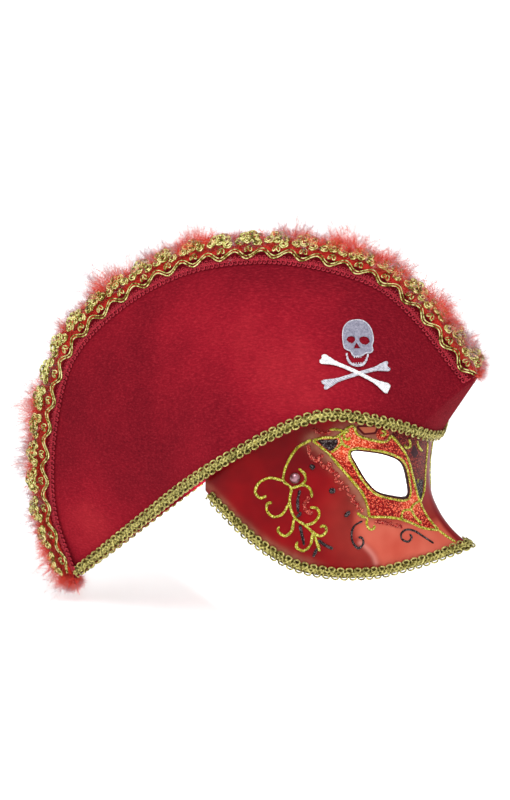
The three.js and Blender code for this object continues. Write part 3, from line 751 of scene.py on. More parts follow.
def painted_felt_light(points):
    """Painted light and shade of the felt at points; a patch is its y, z, width, height and amount."""
    shade = np.full(len(points), PAINTED_LIGHT_BASE)
    for y, z, wide, high, amount in PAINTED_LIGHT_PATCHES:
        shade += amount * np.exp(-(((points[:, 1] - y) / wide) ** 2) - ((points[:, 2] - z) / high) ** 2)
    return np.clip(shade, 0, 1)


def felt_part():
    """The right felt panel."""
    part = panel_layer(WHOLE_PANEL, 0, FELT_THICKNESS, 241, 81, 0.22)
    # The point value shade holds painted light and shade of the felt.
    part.values["shade"] = painted_felt_light(part.points)
    return part


def prow_seam():
    """Seam allowance between the panels, from the brow up to the boa, fuller towards the top."""
    rail = seam_rail(0.002, PROW_SHARE, 60)
    rise = rail.reach / rail.length
    part = tube(rail.place(rail.reach, 0.9 + 0.9 * rise, 0), rail.normal, 0.8 + 1.5 * rise, 12)
    # The seam takes the felt's base level of painted light and shade.
    part.values["shade"] = np.full(len(part.points), PAINTED_LIGHT_BASE)
    return part


# ------------------------------------------------------------------ trims
GIMP_WIDTH = 7.4
GIMP_REPEAT = 5.0
GIMP_CORD = 0.5  # radius, as is every cord below
RED_GIMP_BAND = (3.6, 10.1)  # from the outer edge of the hat
RED_GIMP_REPEAT = 2.9
RED_GIMP_CORD = 0.42
LACE_REPEATS = 26
LACE_LINE = 3.8  # middle of the lace's wave, from the outer edge of the hat
LACE_WAVE = 2.7
LACE_CORD = 0.42
FLOWER_REACH = 5.0  # from a flower's middle to the coils round it
LOBE_LEANS = (-1.5, -0.75, 0, 0.75, 1.5)  # of the coils round a lace flower, in radians
LOBE_RADIUS = 2.6
LOBE_CORD = 0.5


def gimp(rail, near, far, base, repeats, cord):
    """Braid of two rows of round loops with a plait between them, from near to far."""
    middle, half = (near + far) / 2, (far - near) / 2
    pitch = rail.length / repeats
    phase = np.linspace(0, 2 * np.pi * repeats, repeats * 20 + 1)
    travel = phase / (2 * np.pi) * pitch
    parts = []
    for side in (-1, 1):
        row = half * 0.52 - cord * 0.3
        swing = half - row - cord
        turned = phase + np.pi * (side > 0)
        s = np.clip(travel - pitch * 0.56 * np.sin(turned), 0, rail.length)
        across = middle + side * (row + swing * np.cos(turned))
        off = base + cord * (1.6 + 0.75 * np.sin(turned))
        line = rail.place(s, across, off)
        parts.append(tube(line, rail.read(rail.normal, s), cord, 6))
    for start in (0, np.pi):
        across = middle + half * 0.26 * np.sin(phase + start)
        off = base + cord * (2.6 + 0.5 * np.cos(2 * phase + start))
        line = rail.place(travel, across, off)
        parts.append(tube(line, rail.read(rail.normal, travel), cord * 1.05, 6))
    return join(parts)


def tape(rail, near, far, off, thickness):
    """Thin closed tape under a trim."""
    s = np.linspace(0, rail.length, 400)[:, None]
    across = np.linspace(near, far, 5)[None]
    return slab(rail.place(s, across, off + thickness), rail.place(s, across, off))


def petal(rail, s, root, turn, length, width, off, cord):
    """One closed loop of thread that leans by turn from straight out of the edge."""
    phase = np.linspace(0, 2 * np.pi, 14, endpoint=False)
    out = length / 2 * (1 - np.cos(phase))
    side = width / 2 * np.sin(phase) * (1 - np.cos(phase)) ** 0.35
    across = root - (out * math.cos(turn) - side * math.sin(turn))
    travel = s + out * math.sin(turn) + side * math.cos(turn)
    rise = off + 0.5 * np.sin(phase) * cord + 0.5 * np.sin(out / length * np.pi)
    travel = np.clip(travel, 0, rail.length)
    return tube(rail.place(travel, across, rise), rail.read(rail.normal, travel), cord, 5, closed=True)


def coil(rail, s, across, off, lean):
    """A flat coil of scalloped thread in two turns, as one lobe of a lace flower."""
    phase = np.linspace(0, 4 * np.pi, 36)
    share = phase / phase[-1]
    reach = LOBE_RADIUS * (0.28 + 0.72 * share) + 0.16 * np.sin(7 * phase) * share
    travel = np.clip(s + reach * np.cos(phase + lean), 0, rail.length)
    across = across - reach * np.sin(phase + lean)
    rise = off + 0.9 * (1 - share) + 0.22 * np.sin(3.5 * phase)
    return tube(rail.place(travel, across, rise), rail.read(rail.normal, travel), LOBE_CORD, 5)


def gold_lace(rail):
    """Wavy double cord, with a flower of coiled thread outside each trough of the wave."""
    pitch = rail.length / LACE_REPEATS
    phase = np.linspace(0, 2 * np.pi * LACE_REPEATS, LACE_REPEATS * 24 + 1)
    travel = phase / (2 * np.pi) * pitch
    normal = rail.read(rail.normal, travel)
    parts = []
    for shift in (-1.0, 1.0):
        across = LACE_LINE - LACE_WAVE * np.cos(phase) + shift
        parts.append(tube(rail.place(travel, across, 2.9), normal, LACE_CORD, 6))
    random = np.random.default_rng(21)
    for repeat in range(LACE_REPEATS):
        s = (repeat + 0.5) * pitch + random.normal(0, 0.25)
        tilt = random.normal(0, 0.12)
        for lean in LOBE_LEANS:
            reach = FLOWER_REACH + random.normal(0, 0.25)
            lobe_s = s + reach * math.sin(lean + tilt)
            lobe_across = -1.8 - reach * math.cos(lean + tilt)
            rise = 6.6 - 0.6 * abs(lean)
            parts.append(coil(rail, lobe_s, lobe_across, rise, random.uniform(0, 6)))
        for turn in (2.75, -2.75):
            parts.append(petal(rail, s, -1.6, turn, length=4.4, width=1.6, off=3.2, cord=0.4))
        parts.append(coil(rail, s, -3.0, 6.2, random.uniform(0, 6)))
    return join(parts)


# ------------------------------------------------------------------ feather boa
BOA_CLUMPS = 15
SHORT_DOWN = {
    "count": 1150, "reach": 11.5, "fan_width": 0.6, "side_width": 0.3,
    "barbs": 16, "barb_length": 4.2, "barb_width": 0.08,
}
LONG_PLUMES = {
    "count": 800, "reach": 20.5, "fan_width": 0.42, "side_width": 0.34,
    "barbs": 24, "barb_length": 4.8, "barb_width": 0.05,
}
FULL_PLUME = 16.0  # length of a plume whose tip is fully pale
END_REACH = 9.0  # beyond the seam's ends, over which the plumes turn and shorten
CLUMP_SEED = 3  # the same clumps in every layer of down


def boa_core(rail):
    """Lumpy roll of down that fills the middle of the boa."""
    random = np.random.default_rng(5)
    phase = random.uniform(0, 2 * np.pi, 6)
    s = np.linspace(0, rail.length, 900)
    swell = sum(np.sin(s / length + p) for length, p in zip((3.1, 4.3, 6.7, 1.9, 2.6, 9.0), phase)) / 6
    line = rail.place(s, -1.3 - 0.8 * swell, 0)
    taper = smoothstep(s, 0, 8) * smoothstep(-s, -rail.length, 8 - rail.length)
    core = tube(line, rail.read(rail.normal, s), (3.1 + 0.8 * swell) * (0.2 + 0.8 * taper), 14)
    core.values["tip"] = np.clip(0.12 + random.normal(0, 0.08, len(core.points)), 0, 1)
    return core


def fanned_stems(rail, random, count, reach, fan_width, side_width):
    """Base, heading, bend, length and paleness of stems fanned in clumps along the seam."""
    sizes = np.random.default_rng(CLUMP_SEED)
    spacing = rail.length / BOA_CLUMPS
    clump = random.integers(0, BOA_CLUMPS + 1, count)
    size = sizes.uniform(0.6, 1.2, BOA_CLUMPS + 1)
    shift = sizes.normal(0, 0.15, BOA_CLUMPS + 1)
    pale = sizes.uniform(-0.16, 0.14, BOA_CLUMPS + 1)[clump]
    offset = random.normal(0, 0.36, count)
    s = np.clip((clump + 0.5 + shift[clump] + offset) * spacing, 0, rail.length)
    beyond = ((clump + 0.5 + offset) * spacing - s) / END_REACH
    fan = random.normal(0, fan_width, count) + 0.9 * offset + np.clip(beyond, -1.3, 1.3)
    spread = random.normal(0, side_width, count)
    outward = -rail.read(rail.inward, s)
    along = rail.read(unit(np.gradient(rail.at, axis=0)), s)
    flat = outward * np.cos(fan)[:, None] + along * np.sin(fan)[:, None]
    aside = np.array([1.0, 0, 0])
    heading = unit(flat * np.cos(spread)[:, None] + aside * np.sin(spread)[:, None])
    base = rail.place(s, random.normal(-2.6, 1.3, count), random.normal(0, 1.3, count))
    peak = 1.1 - 0.5 * np.clip(np.abs(offset) / 0.6, 0, 1)
    length = reach * size[clump] * peak * random.uniform(0.55, 1.1, count)
    length *= 1 - 0.84 * np.clip(np.abs(beyond), 0, 1)
    bend = unit(random.normal(0, 1, (count, 3))) * 0.3 + np.array([0, 0, -0.06])
    bend[:, 0] += random.normal(0, 0.4, count)
    return base, heading, bend, length, pale


def plumes(rail, seed, count, reach, fan_width, side_width, barbs, barb_length, barb_width):
    """Curved plumes along the seam, each a stem with two rows of fine barbs."""
    random = np.random.default_rng(seed)
    base, heading, bend, length, pale = fanned_stems(rail, random, count, reach, fan_width, side_width)
    plane = unit(np.cross(heading, random.normal(0, 1, (count, 3))))
    share = reach / FULL_PLUME

    def stem(t):
        run = length[:, None, None] * t[..., None]
        return base[:, None] + run * (heading[:, None] + bend[:, None] * t[..., None])

    t = np.broadcast_to(np.linspace(0, 1, 5), (count, 5))
    taper = (0.1 - 0.08 * t)[..., None] * plane[:, None]
    parts = [ribbons(stem(t), taper, tip=0.6 * t * share + pale[:, None])]
    forward = np.repeat(unit(heading + bend), barbs, axis=0)
    across = np.repeat(plane, barbs, axis=0)
    step = np.array([0, 0.5, 1.0])
    for side in (-1, 1):
        t = np.linspace(0.04, 1, barbs)[None] + random.normal(0, 0.02, (count, barbs))
        t = np.clip(t, 0, 1)
        root = stem(t).reshape(-1, 3)
        lean = unit(forward * 0.75 + across * side * 0.7 + random.normal(0, 0.4, root.shape))
        run = barb_length * (1 - 0.4 * t.ravel()) * random.uniform(0.45, 1.25, len(root))
        curl = random.normal(0, 0.45, root.shape) + forward * 0.25
        ahead = lean[:, None] + curl[:, None] * step[None, :, None]
        strip = root[:, None] + (run[:, None] * step)[..., None] * ahead
        width = unit(np.cross(lean, random.normal(0, 1, lean.shape)))
        widths = width[:, None] * (barb_width * np.array([1, 0.8, 0.16]))[None, :, None]
        from_root = t.ravel()[:, None] * share
        tip = 0.6 * from_root + 0.42 * step[None] * (0.25 + 0.75 * from_root)
        parts.append(ribbons(strip, widths, tip=tip + np.repeat(pale, barbs)[:, None]))
    return join(parts)


# ------------------------------------------------------------------ embroidery
STITCH_SPACING = 0.42
STITCH_LENGTH = 5.0
STITCH_RADIUS = 0.27
BORDER_RADIUS = 0.36
CRANIUM = [
    (2.5, 24.4), (5.8, 23.5), (8.1, 21.1), (9.5, 17.2), (9.6, 11.6), (8.5, 8.4), (8.8, 6), (7.4, 4.4),
    (4.8, 4.2), (2.4, 2.7), (-2.2, 2.7), (-3.4, 5.4), (-6.2, 7.2), (-6.7, 9.6), (-6.5, 15.8),
    (-5.2, 20.4), (-2.1, 23.6),
]
SKULL_EYES = [
    [(-4.9, 12.2), (-3.6, 14.4), (-0.8, 14.5), (-0.1, 12.4), (-2.1, 10)],
    [(2.1, 13.2), (5.0, 14.3), (7.3, 13.1), (7.5, 10.5), (5.2, 8.9), (2.5, 10.2)],
]
SKULL_NOSE = [(0.3, 10.8), (2.3, 6.9), (-1.8, 6.9)]
JAW_OUTSIDE = [(-6, 4.4), (-5.9, 0.8), (-4.4, -2), (-0.9, -3.5), (2.7, -2.9), (4.9, -0.3), (6.2, 3.5)]
JAW_INSIDE = [(5.4, 3.5), (4.2, 0.3), (2.3, -1.8), (-0.8, -2.5), (-3.6, -1.3), (-5, 1.4), (-5.4, 4.3)]
TEETH = [(x, 2.1) for x in (-1.8, -0.6, 0.6, 1.7)] + [(x, -1.9) for x in (-2.6, -1.3, 0, 1.3)]
BONES = [  # middle, tilt in degrees, half length and depth of the notch at its ends
    ((-1.4, -7.8), 15.4, 19.2, 1.2),
    ((-1.8, -6.7), -28.4, 19.8, 0.1),
]


def wheel(turn):
    """Matrix that turns rows of flat points by an angle."""
    return np.array([[math.cos(turn), math.sin(turn)], [-math.sin(turn), math.cos(turn)]])


def scan(loops, spacing, turn):
    """Straight runs inside closed outlines, spaced evenly, at an angle from level."""
    loops = [np.asarray(loop) @ wheel(turn).T for loop in loops]
    low = min(loop[:, 1].min() for loop in loops)
    high = max(loop[:, 1].max() for loop in loops)
    runs = []
    for level in np.arange(low + spacing / 2, high, spacing):
        cuts = []
        for loop in loops:
            start, end = loop, np.roll(loop, -1, 0)
            crosses = (start[:, 1] <= level) != (end[:, 1] <= level)
            a, b = start[crosses], end[crosses]
            cuts.extend(a[:, 0] + (level - a[:, 1]) / (b[:, 1] - a[:, 1]) * (b[:, 0] - a[:, 0]))
        cuts.sort()
        for left, right in zip(cuts[::2], cuts[1::2]):
            runs.append(np.array([(left, level), (right, level)]) @ wheel(turn))
    return runs


def on_panel(flat):
    """Panel coordinates of flat emblem points; x runs towards the prow and y up."""
    along, up = (np.full(len(flat), v) for v in EMBLEM_PLACE)
    centre, normal = panel_point(*EMBLEM_PLACE), panel_normal(*EMBLEM_PLACE)
    upward = unit(np.array([0, 0, 1]) - normal * normal[2])
    forward = unit(np.cross(upward, normal))
    forward = -forward if forward[1] > 0 else forward
    target = centre + flat[:, :1] * forward + flat[:, 1:] * upward
    step = 0.004
    for _ in range(8):  # Newton's steps towards the target, along the panel's own directions
        here = panel_point(along, up)
        miss = target - here
        by_a = (panel_point(along + step, up) - here) / step
        by_u = (panel_point(along, up + step) - here) / step
        ax, ay, ux, uy = by_a @ forward, by_a @ upward, by_u @ forward, by_u @ upward
        mx, my = miss @ forward, miss @ upward
        det = ax * uy - ux * ay
        along = along + (mx * uy - ux * my) / det
        up = up + (ax * my - mx * ay) / det
    return along, up


def stitched(loops, turn, base, seed):
    """Satin stitches that fill closed outlines, laid on the felt."""
    random = np.random.default_rng(seed)
    threads = []
    for left, right in scan(loops, STITCH_SPACING, turn):
        length = np.linalg.norm(right - left)
        if length < 0.3:
            continue
        reach = (right - left) / length
        left = left - reach * random.uniform(-0.05, 0.18)
        right = right + reach * random.uniform(-0.05, 0.18)
        pieces = max(1, round(length / STITCH_LENGTH))
        breaks = np.linspace(0, 1, pieces + 1)
        breaks[1:-1] += random.uniform(-0.25, 0.25, pieces - 1) / pieces
        for start, end in zip(breaks[:-1], breaks[1:]):
            t = np.linspace(start, end, 5)
            flat = left + (right - left) * t[:, None]
            arch = 0.3 * np.sin(np.pi * np.linspace(0.08, 0.92, 5))
            along, up = on_panel(flat)
            normal = panel_normal(along, up)
            line = panel_point(along, up) + normal * (base + arch)[:, None]
            threads.append(tube(line, normal, STITCH_RADIUS + random.uniform(-0.02, 0.03), 6))
    return join(threads)


def border(loops, base):
    """A raised cord of satin stitch along closed outlines."""
    cords = []
    for loop in loops:
        path = Spline(loop, closed=True)
        along, up = on_panel(path(np.linspace(0, 1, int(path.length / 0.8))[:-1]))
        normal = panel_normal(along, up)
        cords.append(tube(panel_point(along, up) + normal * base, normal, BORDER_RADIUS, 6, closed=True))
    return join(cords)


def smooth_loop(knots, count=60):
    """Evenly spaced points of a closed curve through knots."""
    return Spline(knots, closed=True)(np.linspace(0, 1, count + 1)[:-1])


def bone_outline(middle, tilt, half, notch):
    """A bone of half its length either way, flared and slightly notched at its ends."""
    shaft = [(0, 0.85), (half - 8, 1.1), (half - 4, 2.1)]
    knob = [(half - 1, 2.7), (half, 2.1), (half - notch, 0.1)]
    upper = Spline(shaft + knob)(np.linspace(0, 1, 30))
    right = np.vstack([upper, upper[::-1] * [1, -1]])
    return np.vstack([right, -right]) @ wheel(math.radians(tilt)) + np.array(middle)


def tooth_outline(x, y):
    """Small upright rectangle of one tooth."""
    return np.array([(x - 0.25, y - 0.5), (x + 0.25, y - 0.5), (x + 0.25, y + 0.6), (x - 0.25, y + 0.6)])


def skull_parts():
    """Cranium filled with upright stitches; its edges, jaw and teeth in raised cord."""
    cranium, eyes = smooth_loop(CRANIUM), [smooth_loop(eye, 24) for eye in SKULL_EYES]
    jaw = np.vstack([Spline(line)(np.linspace(0, 1, 24)) for line in (JAW_OUTSIDE, JAW_INSIDE)])
    filled = stitched([cranium, *eyes, np.array(SKULL_NOSE)], math.radians(78), 0.4, seed=1)
    edges = [border([cranium], 0.7), stitched([jaw], 1.4, 0.5, seed=2)]
    for number, tooth in enumerate(TEETH):
        edges.append(stitched([tooth_outline(*tooth)], 1.4, 0.4, seed=5 + number))
    return filled, join(edges)


def bone_part(number):
    """Satin stitches across one of the crossed bones; the second lies over the first."""
    tilt = math.radians(BONES[number][1] + 90)
    return stitched([bone_outline(*BONES[number])], tilt, 0.4 + 0.5 * number, seed=3 + number)


# ------------------------------------------------------------------ mask and its paint
SURROUND_SIDE = [(54.9, 20), (48.8, 13), (44.9, 6.3), (39.4, -3), (35.2, -10.5), (32.8, -18), (31.7, -23.8)]
SURROUND_LOW = [(31.7, -23.8), (24, -25.3), (19.2, -27), (14, -30.3), (9, -34.6), (4.6, -36.8)]
SURROUND_TOP = [
    (54.9, 20), (50.3, 21.7), (46, 22), (42, 27), (40, 27.9), (38.4, 23.1), (33.5, 19.8), (27.7, 18.3),
    (26, 21.5),
]
BROW_CURL = [(48.5, 26.2), (46, 26.2), (43.5, 25.5)]
NODE_CURL = [(45.1, 22.5), (44.1, 19.4), (45.6, 16), (47.8, 13.4)]
EYE_BRANCH = [(44.1, 19.4), (42.8, 17), (41, 16.4)]
LOBE_CURL = [(29.9, 24.6), (28.4, 23.6), (28.6, 21.8), (30.2, 22.2)]
INNER_CURL = [(41.4, 25.6), (43, 24.2), (43.2, 21.6), (41.8, 20.6), (41, 22)]
BRIDGE_SIDE = [(26, 21.5), (21.1, 13.7), (17.2, 6.6), (14, -2), (10.5, -12), (7.9, -20.8)]
BRIDGE_RIDGE = [(4.1, 13), (3.3, 4), (3.5, -5), (4.6, -14), (7.9, -20.8)]
NOSE_LINE = [(7.9, -20.8), (6.6, -27), (5.3, -33), (4.6, -36.8)]
NOSE_TIP_LINE = [(4.6, -36.8), (3.7, -40.2), (2.9, -43.6)]
LATTICE = [(8.6, -19.6), (12.2, -21.2), (13.4, -23), (17, -23), (17.9, -25.5), (17.6, -28)]
LATTICE_BRANCH = [(13.2, -23), (12, -26.6), (9.4, -32)]
FOOT_HOOK = [(37, -20.7), (35, -23), (32.8, -24.4), (32.5, -28), (31, -31), (29.2, -30.6), (29.4, -28.8)]
DRIPS = [
    [(17.5, 18), (16.7, 13.5), (18.6, 13), (19.8, 15)],
    [(12.7, 15.5), (11.5, 12), (8.2, 8.4)],
    [(9.4, -6.6), (9.2, -9.4)],
]
CHEEK_SCROLLS = [
    [(55.4, 20.4), (61, 16), (64.6, 9.6), (67, 2.4), (67.4, -2.6), (64, -6.4), (64.6, -12.5), (64.4, -17),
     (62.2, -23), (57.9, -27), (54.5, -31.5), (51.6, -41.6)],
    [(67.4, -2.6), (74.3, -1.4), (79.8, -5), (81.2, -9.8), (78.6, -12.6), (75.6, -11.4)],
    [(64.8, -14.6), (68, -21), (72, -22.7), (75.3, -19.4), (75, -15.6), (72.9, -14.8)],
    [(62.6, -22.8), (64, -30.6), (67, -33), (70, -30.4), (69.6, -27.8)],
    [(60.6, 4.4), (58, 1), (58, -2.6), (60.4, -5.6)],
    [(63.8, -6.6), (58, -4.8), (55.6, -7.4), (55, -11.6)],
    [(57.9, -27), (54.4, -25.6), (52, -21.2), (53, -17.6), (55.8, -17)],
    [(55.6, -30), (51.4, -33), (49, -30.4), (49.8, -27.4), (51.6, -28)],
    [(54.8, -32), (55.6, -38), (58.6, -41.2), (61.6, -39.2), (61.2, -36)],
]
BLACK_CURLS = [
    [(34.4, -25.8), (37.6, -28), (38.7, -32), (38, -37.4), (35.6, -41), (33.6, -38.8), (34.2, -35.4),
     (35.8, -34.8)],
    [(15, -36.4), (14.4, -38.2), (16, -40.4), (18.2, -38.6), (18.2, -35.4), (16, -33.8), (12.7, -35.4),
     (9.6, -40), (8.2, -43)],
]
BLACK_LEAVES = [
    [(60.1, -7.5), (61, -13), (60.9, -19.7)],
    [(60.1, -26.9), (59.2, -32.4), (58.3, -38)],
    [(52.4, -35.2), (49.5, -38.1), (46.2, -40.4)],
    [(52.8, -39.7), (53.6, -42.4), (54.5, -44.7)],
]
BLACK_DOTS = [(55, 5.4), (47.1, -7.8), (40.9, -21.1), (60.4, -21.2)]
RED_TRAILS = [
    [(56.4, 16.6), (56, 12), (53.2, 8.6), (51.6, 11.4)],
    [(51.4, 7.6), (49.4, 4.8), (48.2, 7.4), (47.8, 3.6)],
    [(47, 3.2), (45.2, 0.6), (45.8, -1.6), (43.6, -3.2)],
    [(43.8, -6.4), (41.8, -5.6), (41, -9.8), (39, -11.4)],
    [(39.2, -13.6), (37.6, -15.4), (36.8, -18.4), (34.8, -19.8)],
    [(28.6, -26.8), (24.2, -28.4), (18.2, -31.6)],
    [(56.5, -12.4), (58, -14.6), (57.6, -18.4), (55.4, -20.6)],
    [(54.2, 26.2), (52.6, 24.8), (50.4, 24.4), (48.6, 24.6)],
]
BLACK_TRIANGLE = [(53.6, 20.4), (45.4, 21), (45.4, 18.2), (46.8, 15.4), (48.2, 14), (51.2, 17.2)]
BRIDGE_BLACK = [(12.2, -6.2), (5, -8.7), (6.2, -16.4), (7.9, -20), (9.6, -15.6)]
BROW_LEAF = [(38, 27.2), (31.6, 26.8), (32.3, 24), (36, 23.8)]
BROW_LOBE = (29.3, 22.4)
BRIDGE_DIAMOND = [(14.6, 14.4), (11, 8.1), (13.3, 5.5), (16.1, 9.4)]
SALMON_SIDE = [
    (38, -20), (38.6, -27), (37.4, -34), (34, -39.5), (29.5, -46), (26, -60), (0, -60), (0, -30), (6, -31),
    (17, -28.5), (31, -24.6),
]
# Line of a painted highlight along the crease between the cheek and the side of the nose.
CREASE_HIGHLIGHT_LINE = [(35, -38), (32, -41.5), (29.4, -46), (28, -51)]
FLAT_SCALE = np.array([DEGREE_MM, 1])
GOLD_LINE, EYE_RIM_LINE = 1.5, 1.3  # widths of the glue, as below
RED_DROP, RED_GAP = 2.5, 1.15
CURL_LINE, LEAF_LINE, SPOT = 1.3, 1.7, 3.8
CUTTER_REACH = 14.0  # of the eye cutter, either way from the mask's outer face


def flat_mask(points):
    """Mask points, given by angle and height, as millimetres round the mask and height."""
    return np.asarray(points, float) * FLAT_SCALE


def distance_to(points, line, closed):
    """Distance of each point to a line, less than 0 inside a closed one."""
    start = line if closed else line[:-1]
    end = np.roll(line, -1, 0) if closed else line[1:]
    nearest = np.full(len(points), 1e9)
    inside = np.zeros(len(points), bool)
    for a, b in zip(start, end):
        run = b - a
        t = np.clip((points - a) @ run / (run @ run), 0, 1)
        nearest = np.minimum(nearest, np.linalg.norm(points - a - t[:, None] * run, axis=1))
        if closed and a[1] != b[1]:
            crosses = (a[1] <= points[:, 1]) != (b[1] <= points[:, 1])
            at = a[0] + (points[:, 1] - a[1]) / (b[1] - a[1]) * run[0]
            inside ^= crosses & (points[:, 0] < at)
    return np.where(inside, -nearest, nearest)


def drawn(*lines):
    """Smooth outline through one or more open lines of mask points, in lengths."""
    return np.vstack([Spline(flat_mask(line))(np.linspace(0, 1, 24))[:-1] for line in lines])


def bell(distance, width):
    """1 at distance 0, and fading smoothly over a width."""
    return np.exp(-((distance / width) ** 2))


def mask_values(points):
    """Distances to the painted outlines, soft paint shares and a painted highlight, at points of the mask.
    """
    angle = np.abs(np.degrees(np.arctan2(-points[:, 0], -points[:, 1])))
    z = points[:, 2]
    here = flat_mask(np.stack([angle, z], axis=-1))

    def within(corners):
        return distance_to(here, flat_mask(corners), True)

    def from_line(*lines):
        return distance_to(here, drawn(*lines), False)

    def around(centre, near, far):
        distance = np.linalg.norm(here - np.array(centre), axis=1)
        return 1 - smoothstep(distance, near, far)

    surround_lines = (SURROUND_SIDE, SURROUND_LOW, NOSE_LINE[::-1], BRIDGE_SIDE[::-1], SURROUND_TOP[::-1])
    surround = distance_to(here, drawn(*surround_lines), True)
    hole = distance_to(here, Spline(flat_mask(EYE_HOLE), closed=True).line[:-1:4], True)
    lobe = np.linalg.norm(here - flat_mask(BROW_LOBE), axis=1) - 3.2
    bridge_lines = (BRIDGE_SIDE, BRIDGE_RIDGE[::-1], [(4.1, 13), (3, 20), (26, 24)])
    glow = smoothstep(surround, 0, 1.2) * bell(from_line(SURROUND_SIDE, SURROUND_TOP[2:]), 4.2)
    rim = bell(z - mask_low(angle) - 4, 3.2) * smoothstep(angle, 46, 62)
    cheek = -within(SALMON_SIDE)
    salmon = np.maximum(smoothstep(cheek, -3, 4.5), 0.2 * smoothstep(cheek, -24, 0))
    depth = (mask_radius(angle, z) - np.hypot(points[:, 0], points[:, 1])) / MASK_THICKNESS
    return {
        "hole": hole,
        "band": np.minimum(np.maximum(surround, -hole), lobe),
        "bridge": distance_to(here, drawn(*bridge_lines), True),
        "diamond": within(BRIDGE_DIAMOND),
        "leaf": within(BROW_LEAF),
        "black": np.minimum(within(BLACK_TRIANGLE), within(BRIDGE_BLACK)),
        "salmon": salmon * smoothstep(here[:, 0], 2.4, 4.4),
        # A painted highlight along the cheek's crease.
        "painted_crease_highlight": 0.45 * bell(from_line(CREASE_HIGHLIGHT_LINE), 1.3),
        "airbrush": np.clip(0.75 * glow + 0.5 * rim, 0, 1),
        "warm": np.maximum(around((53, 20), 7, 15), around((17, -20), 4, 9)),
        "depth": np.clip(depth, 0, 1),
    }


def mask_blank():
    """The mask's shell before its eyes are cut."""
    angle = np.linspace(-MASK_END_ANGLE, MASK_END_ANGLE, 361)[:, None]
    low, high = mask_low(np.abs(angle)), mask_high(np.abs(angle))
    z = low + (high - low) * np.linspace(0, 1, 121)[None]
    angle = np.broadcast_to(angle, z.shape)
    outer = mask_point(angle, z)
    return slab(outer, outer - mask_normal(angle, z) * MASK_THICKNESS)


def eye_cutter():
    """Right prism through the eye hole."""
    rim = Spline(EYE_HOLE, closed=True)(np.linspace(0, 1, 97)[:-1])
    outer = mask_point(rim[:, 0], rim[:, 1])
    axis = mask_normal(30.0, 0.0)
    count = len(rim)
    ring = np.arange(count)
    after = np.roll(ring, -1)
    walls = np.stack([ring, after, after + count, ring + count], axis=-1)
    caps = [cap_faces(2 * count, ring)[:, [0, 2, 1, 3]], cap_faces(2 * count + 1, ring + count)]
    reach, centre = axis * CUTTER_REACH, outer.mean(0)
    points = np.vstack([outer - reach, outer + reach, [centre - reach], [centre + reach]])
    return Part(points, np.vstack([walls, *caps])).facing_out()


def cut_mask(material):
    """The mask with its two eye holes, carrying its paint outlines."""
    mask = place("mask", mask_blank(), material, ["mask_shell"])
    for cutter_part in (eye_cutter(), eye_cutter().mirrored()):
        cutter = place("cutter", cutter_part, material)
        cut = mask.modifiers.new("eye", "BOOLEAN")
        cut.object = cutter
        cut.solver = "EXACT"
        bpy.context.view_layer.objects.active = mask
        bpy.ops.object.modifier_apply(modifier=cut.name)
        bpy.data.objects.remove(cutter)
    points = np.array([vertex.co for vertex in mask.data.vertices]) * 1000
    for key, value in mask_values(points).items():
        made = mask.data.attributes.new(key, "FLOAT", "POINT")
        made.data.foreach_set("value", value.astype(np.float32))
    return mask


def glue_line(points, width, seed, ends=0.75):
    """A bead of glitter glue along mask points, uneven in width and rounded at its ends."""
    random = np.random.default_rng(seed)
    path = Spline(flat_mask(points))
    count = max(8, int(path.length / 0.45))
    t = np.linspace(0, 1, count)
    flat = path(t) / FLAT_SCALE
    uneven = np.convolve(random.normal(0, 1, count + 8), np.ones(5) / 5, "same")[4:-4]
    from_end = np.minimum(t, 1 - t) * path.length
    rounded = ends + (1 - ends) * smoothstep(from_end, 0, 1.2)
    radius = width / 2 * (1 + 0.2 * uneven) * rounded * np.sqrt(np.clip(from_end / 0.3, 0.15, 1))
    line, normal = mask_point(*flat.T), mask_normal(*flat.T)
    return tube(line, normal, radius, 8, flat=0.8)


def glue_drops(points, width, gap, seed):
    """Separate drops of glitter glue along mask points."""
    random = np.random.default_rng(seed)
    spots = flat_mask(points)
    if len(points) > 1:
        path = Spline(spots)
        spots = path(np.linspace(0, 1, max(2, int(path.length / gap))))
        spots = spots + random.normal(0, 0.22, spots.shape)
    drops = []
    for spot in spots / FLAT_SCALE:
        reach = random.uniform(0.25, 0.6) * width / DEGREE_MM
        tilt = random.uniform(0, np.pi)
        swing = np.array([np.cos(tilt), np.sin(tilt)]) * reach
        thick = width * random.uniform(0.75, 1.15)
        drops.append(glue_line([spot - swing, spot, spot + swing], thick, seed))
    return join(drops)


def gold_glue():
    """Every gold line of the right half of the mask."""
    eye = Spline(flat_mask(EYE_HOLE), closed=True)
    ring = eye(np.linspace(0, 1, 40)[:-1])
    ahead = unit(np.roll(ring, -1, 0) - np.roll(ring, 1, 0))
    outward = np.stack([-ahead[:, 1], ahead[:, 0]], axis=-1)
    outward = outward if np.mean(dot(outward, ring - ring.mean(0))) > 0 else -outward
    rim = (ring + outward * EYE_LINE) / FLAT_SCALE
    lines = [
        SURROUND_SIDE, SURROUND_LOW, SURROUND_TOP, BROW_CURL, NODE_CURL, EYE_BRANCH, INNER_CURL, LOBE_CURL,
        BRIDGE_SIDE, BRIDGE_RIDGE, NOSE_LINE, NOSE_TIP_LINE, LATTICE, LATTICE_BRANCH, FOOT_HOOK,
    ]
    lines += DRIPS + CHEEK_SCROLLS
    parts = [glue_line(line, GOLD_LINE, seed) for seed, line in enumerate(lines)]
    parts.append(glue_line(np.vstack([rim, rim[:1]]), EYE_RIM_LINE, seed=99, ends=1.0))
    return join(parts)


def red_glue():
    """Trails of red glitter drops on the right half of the mask."""
    return join(glue_drops(trail, RED_DROP, RED_GAP, seed) for seed, trail in enumerate(RED_TRAILS))


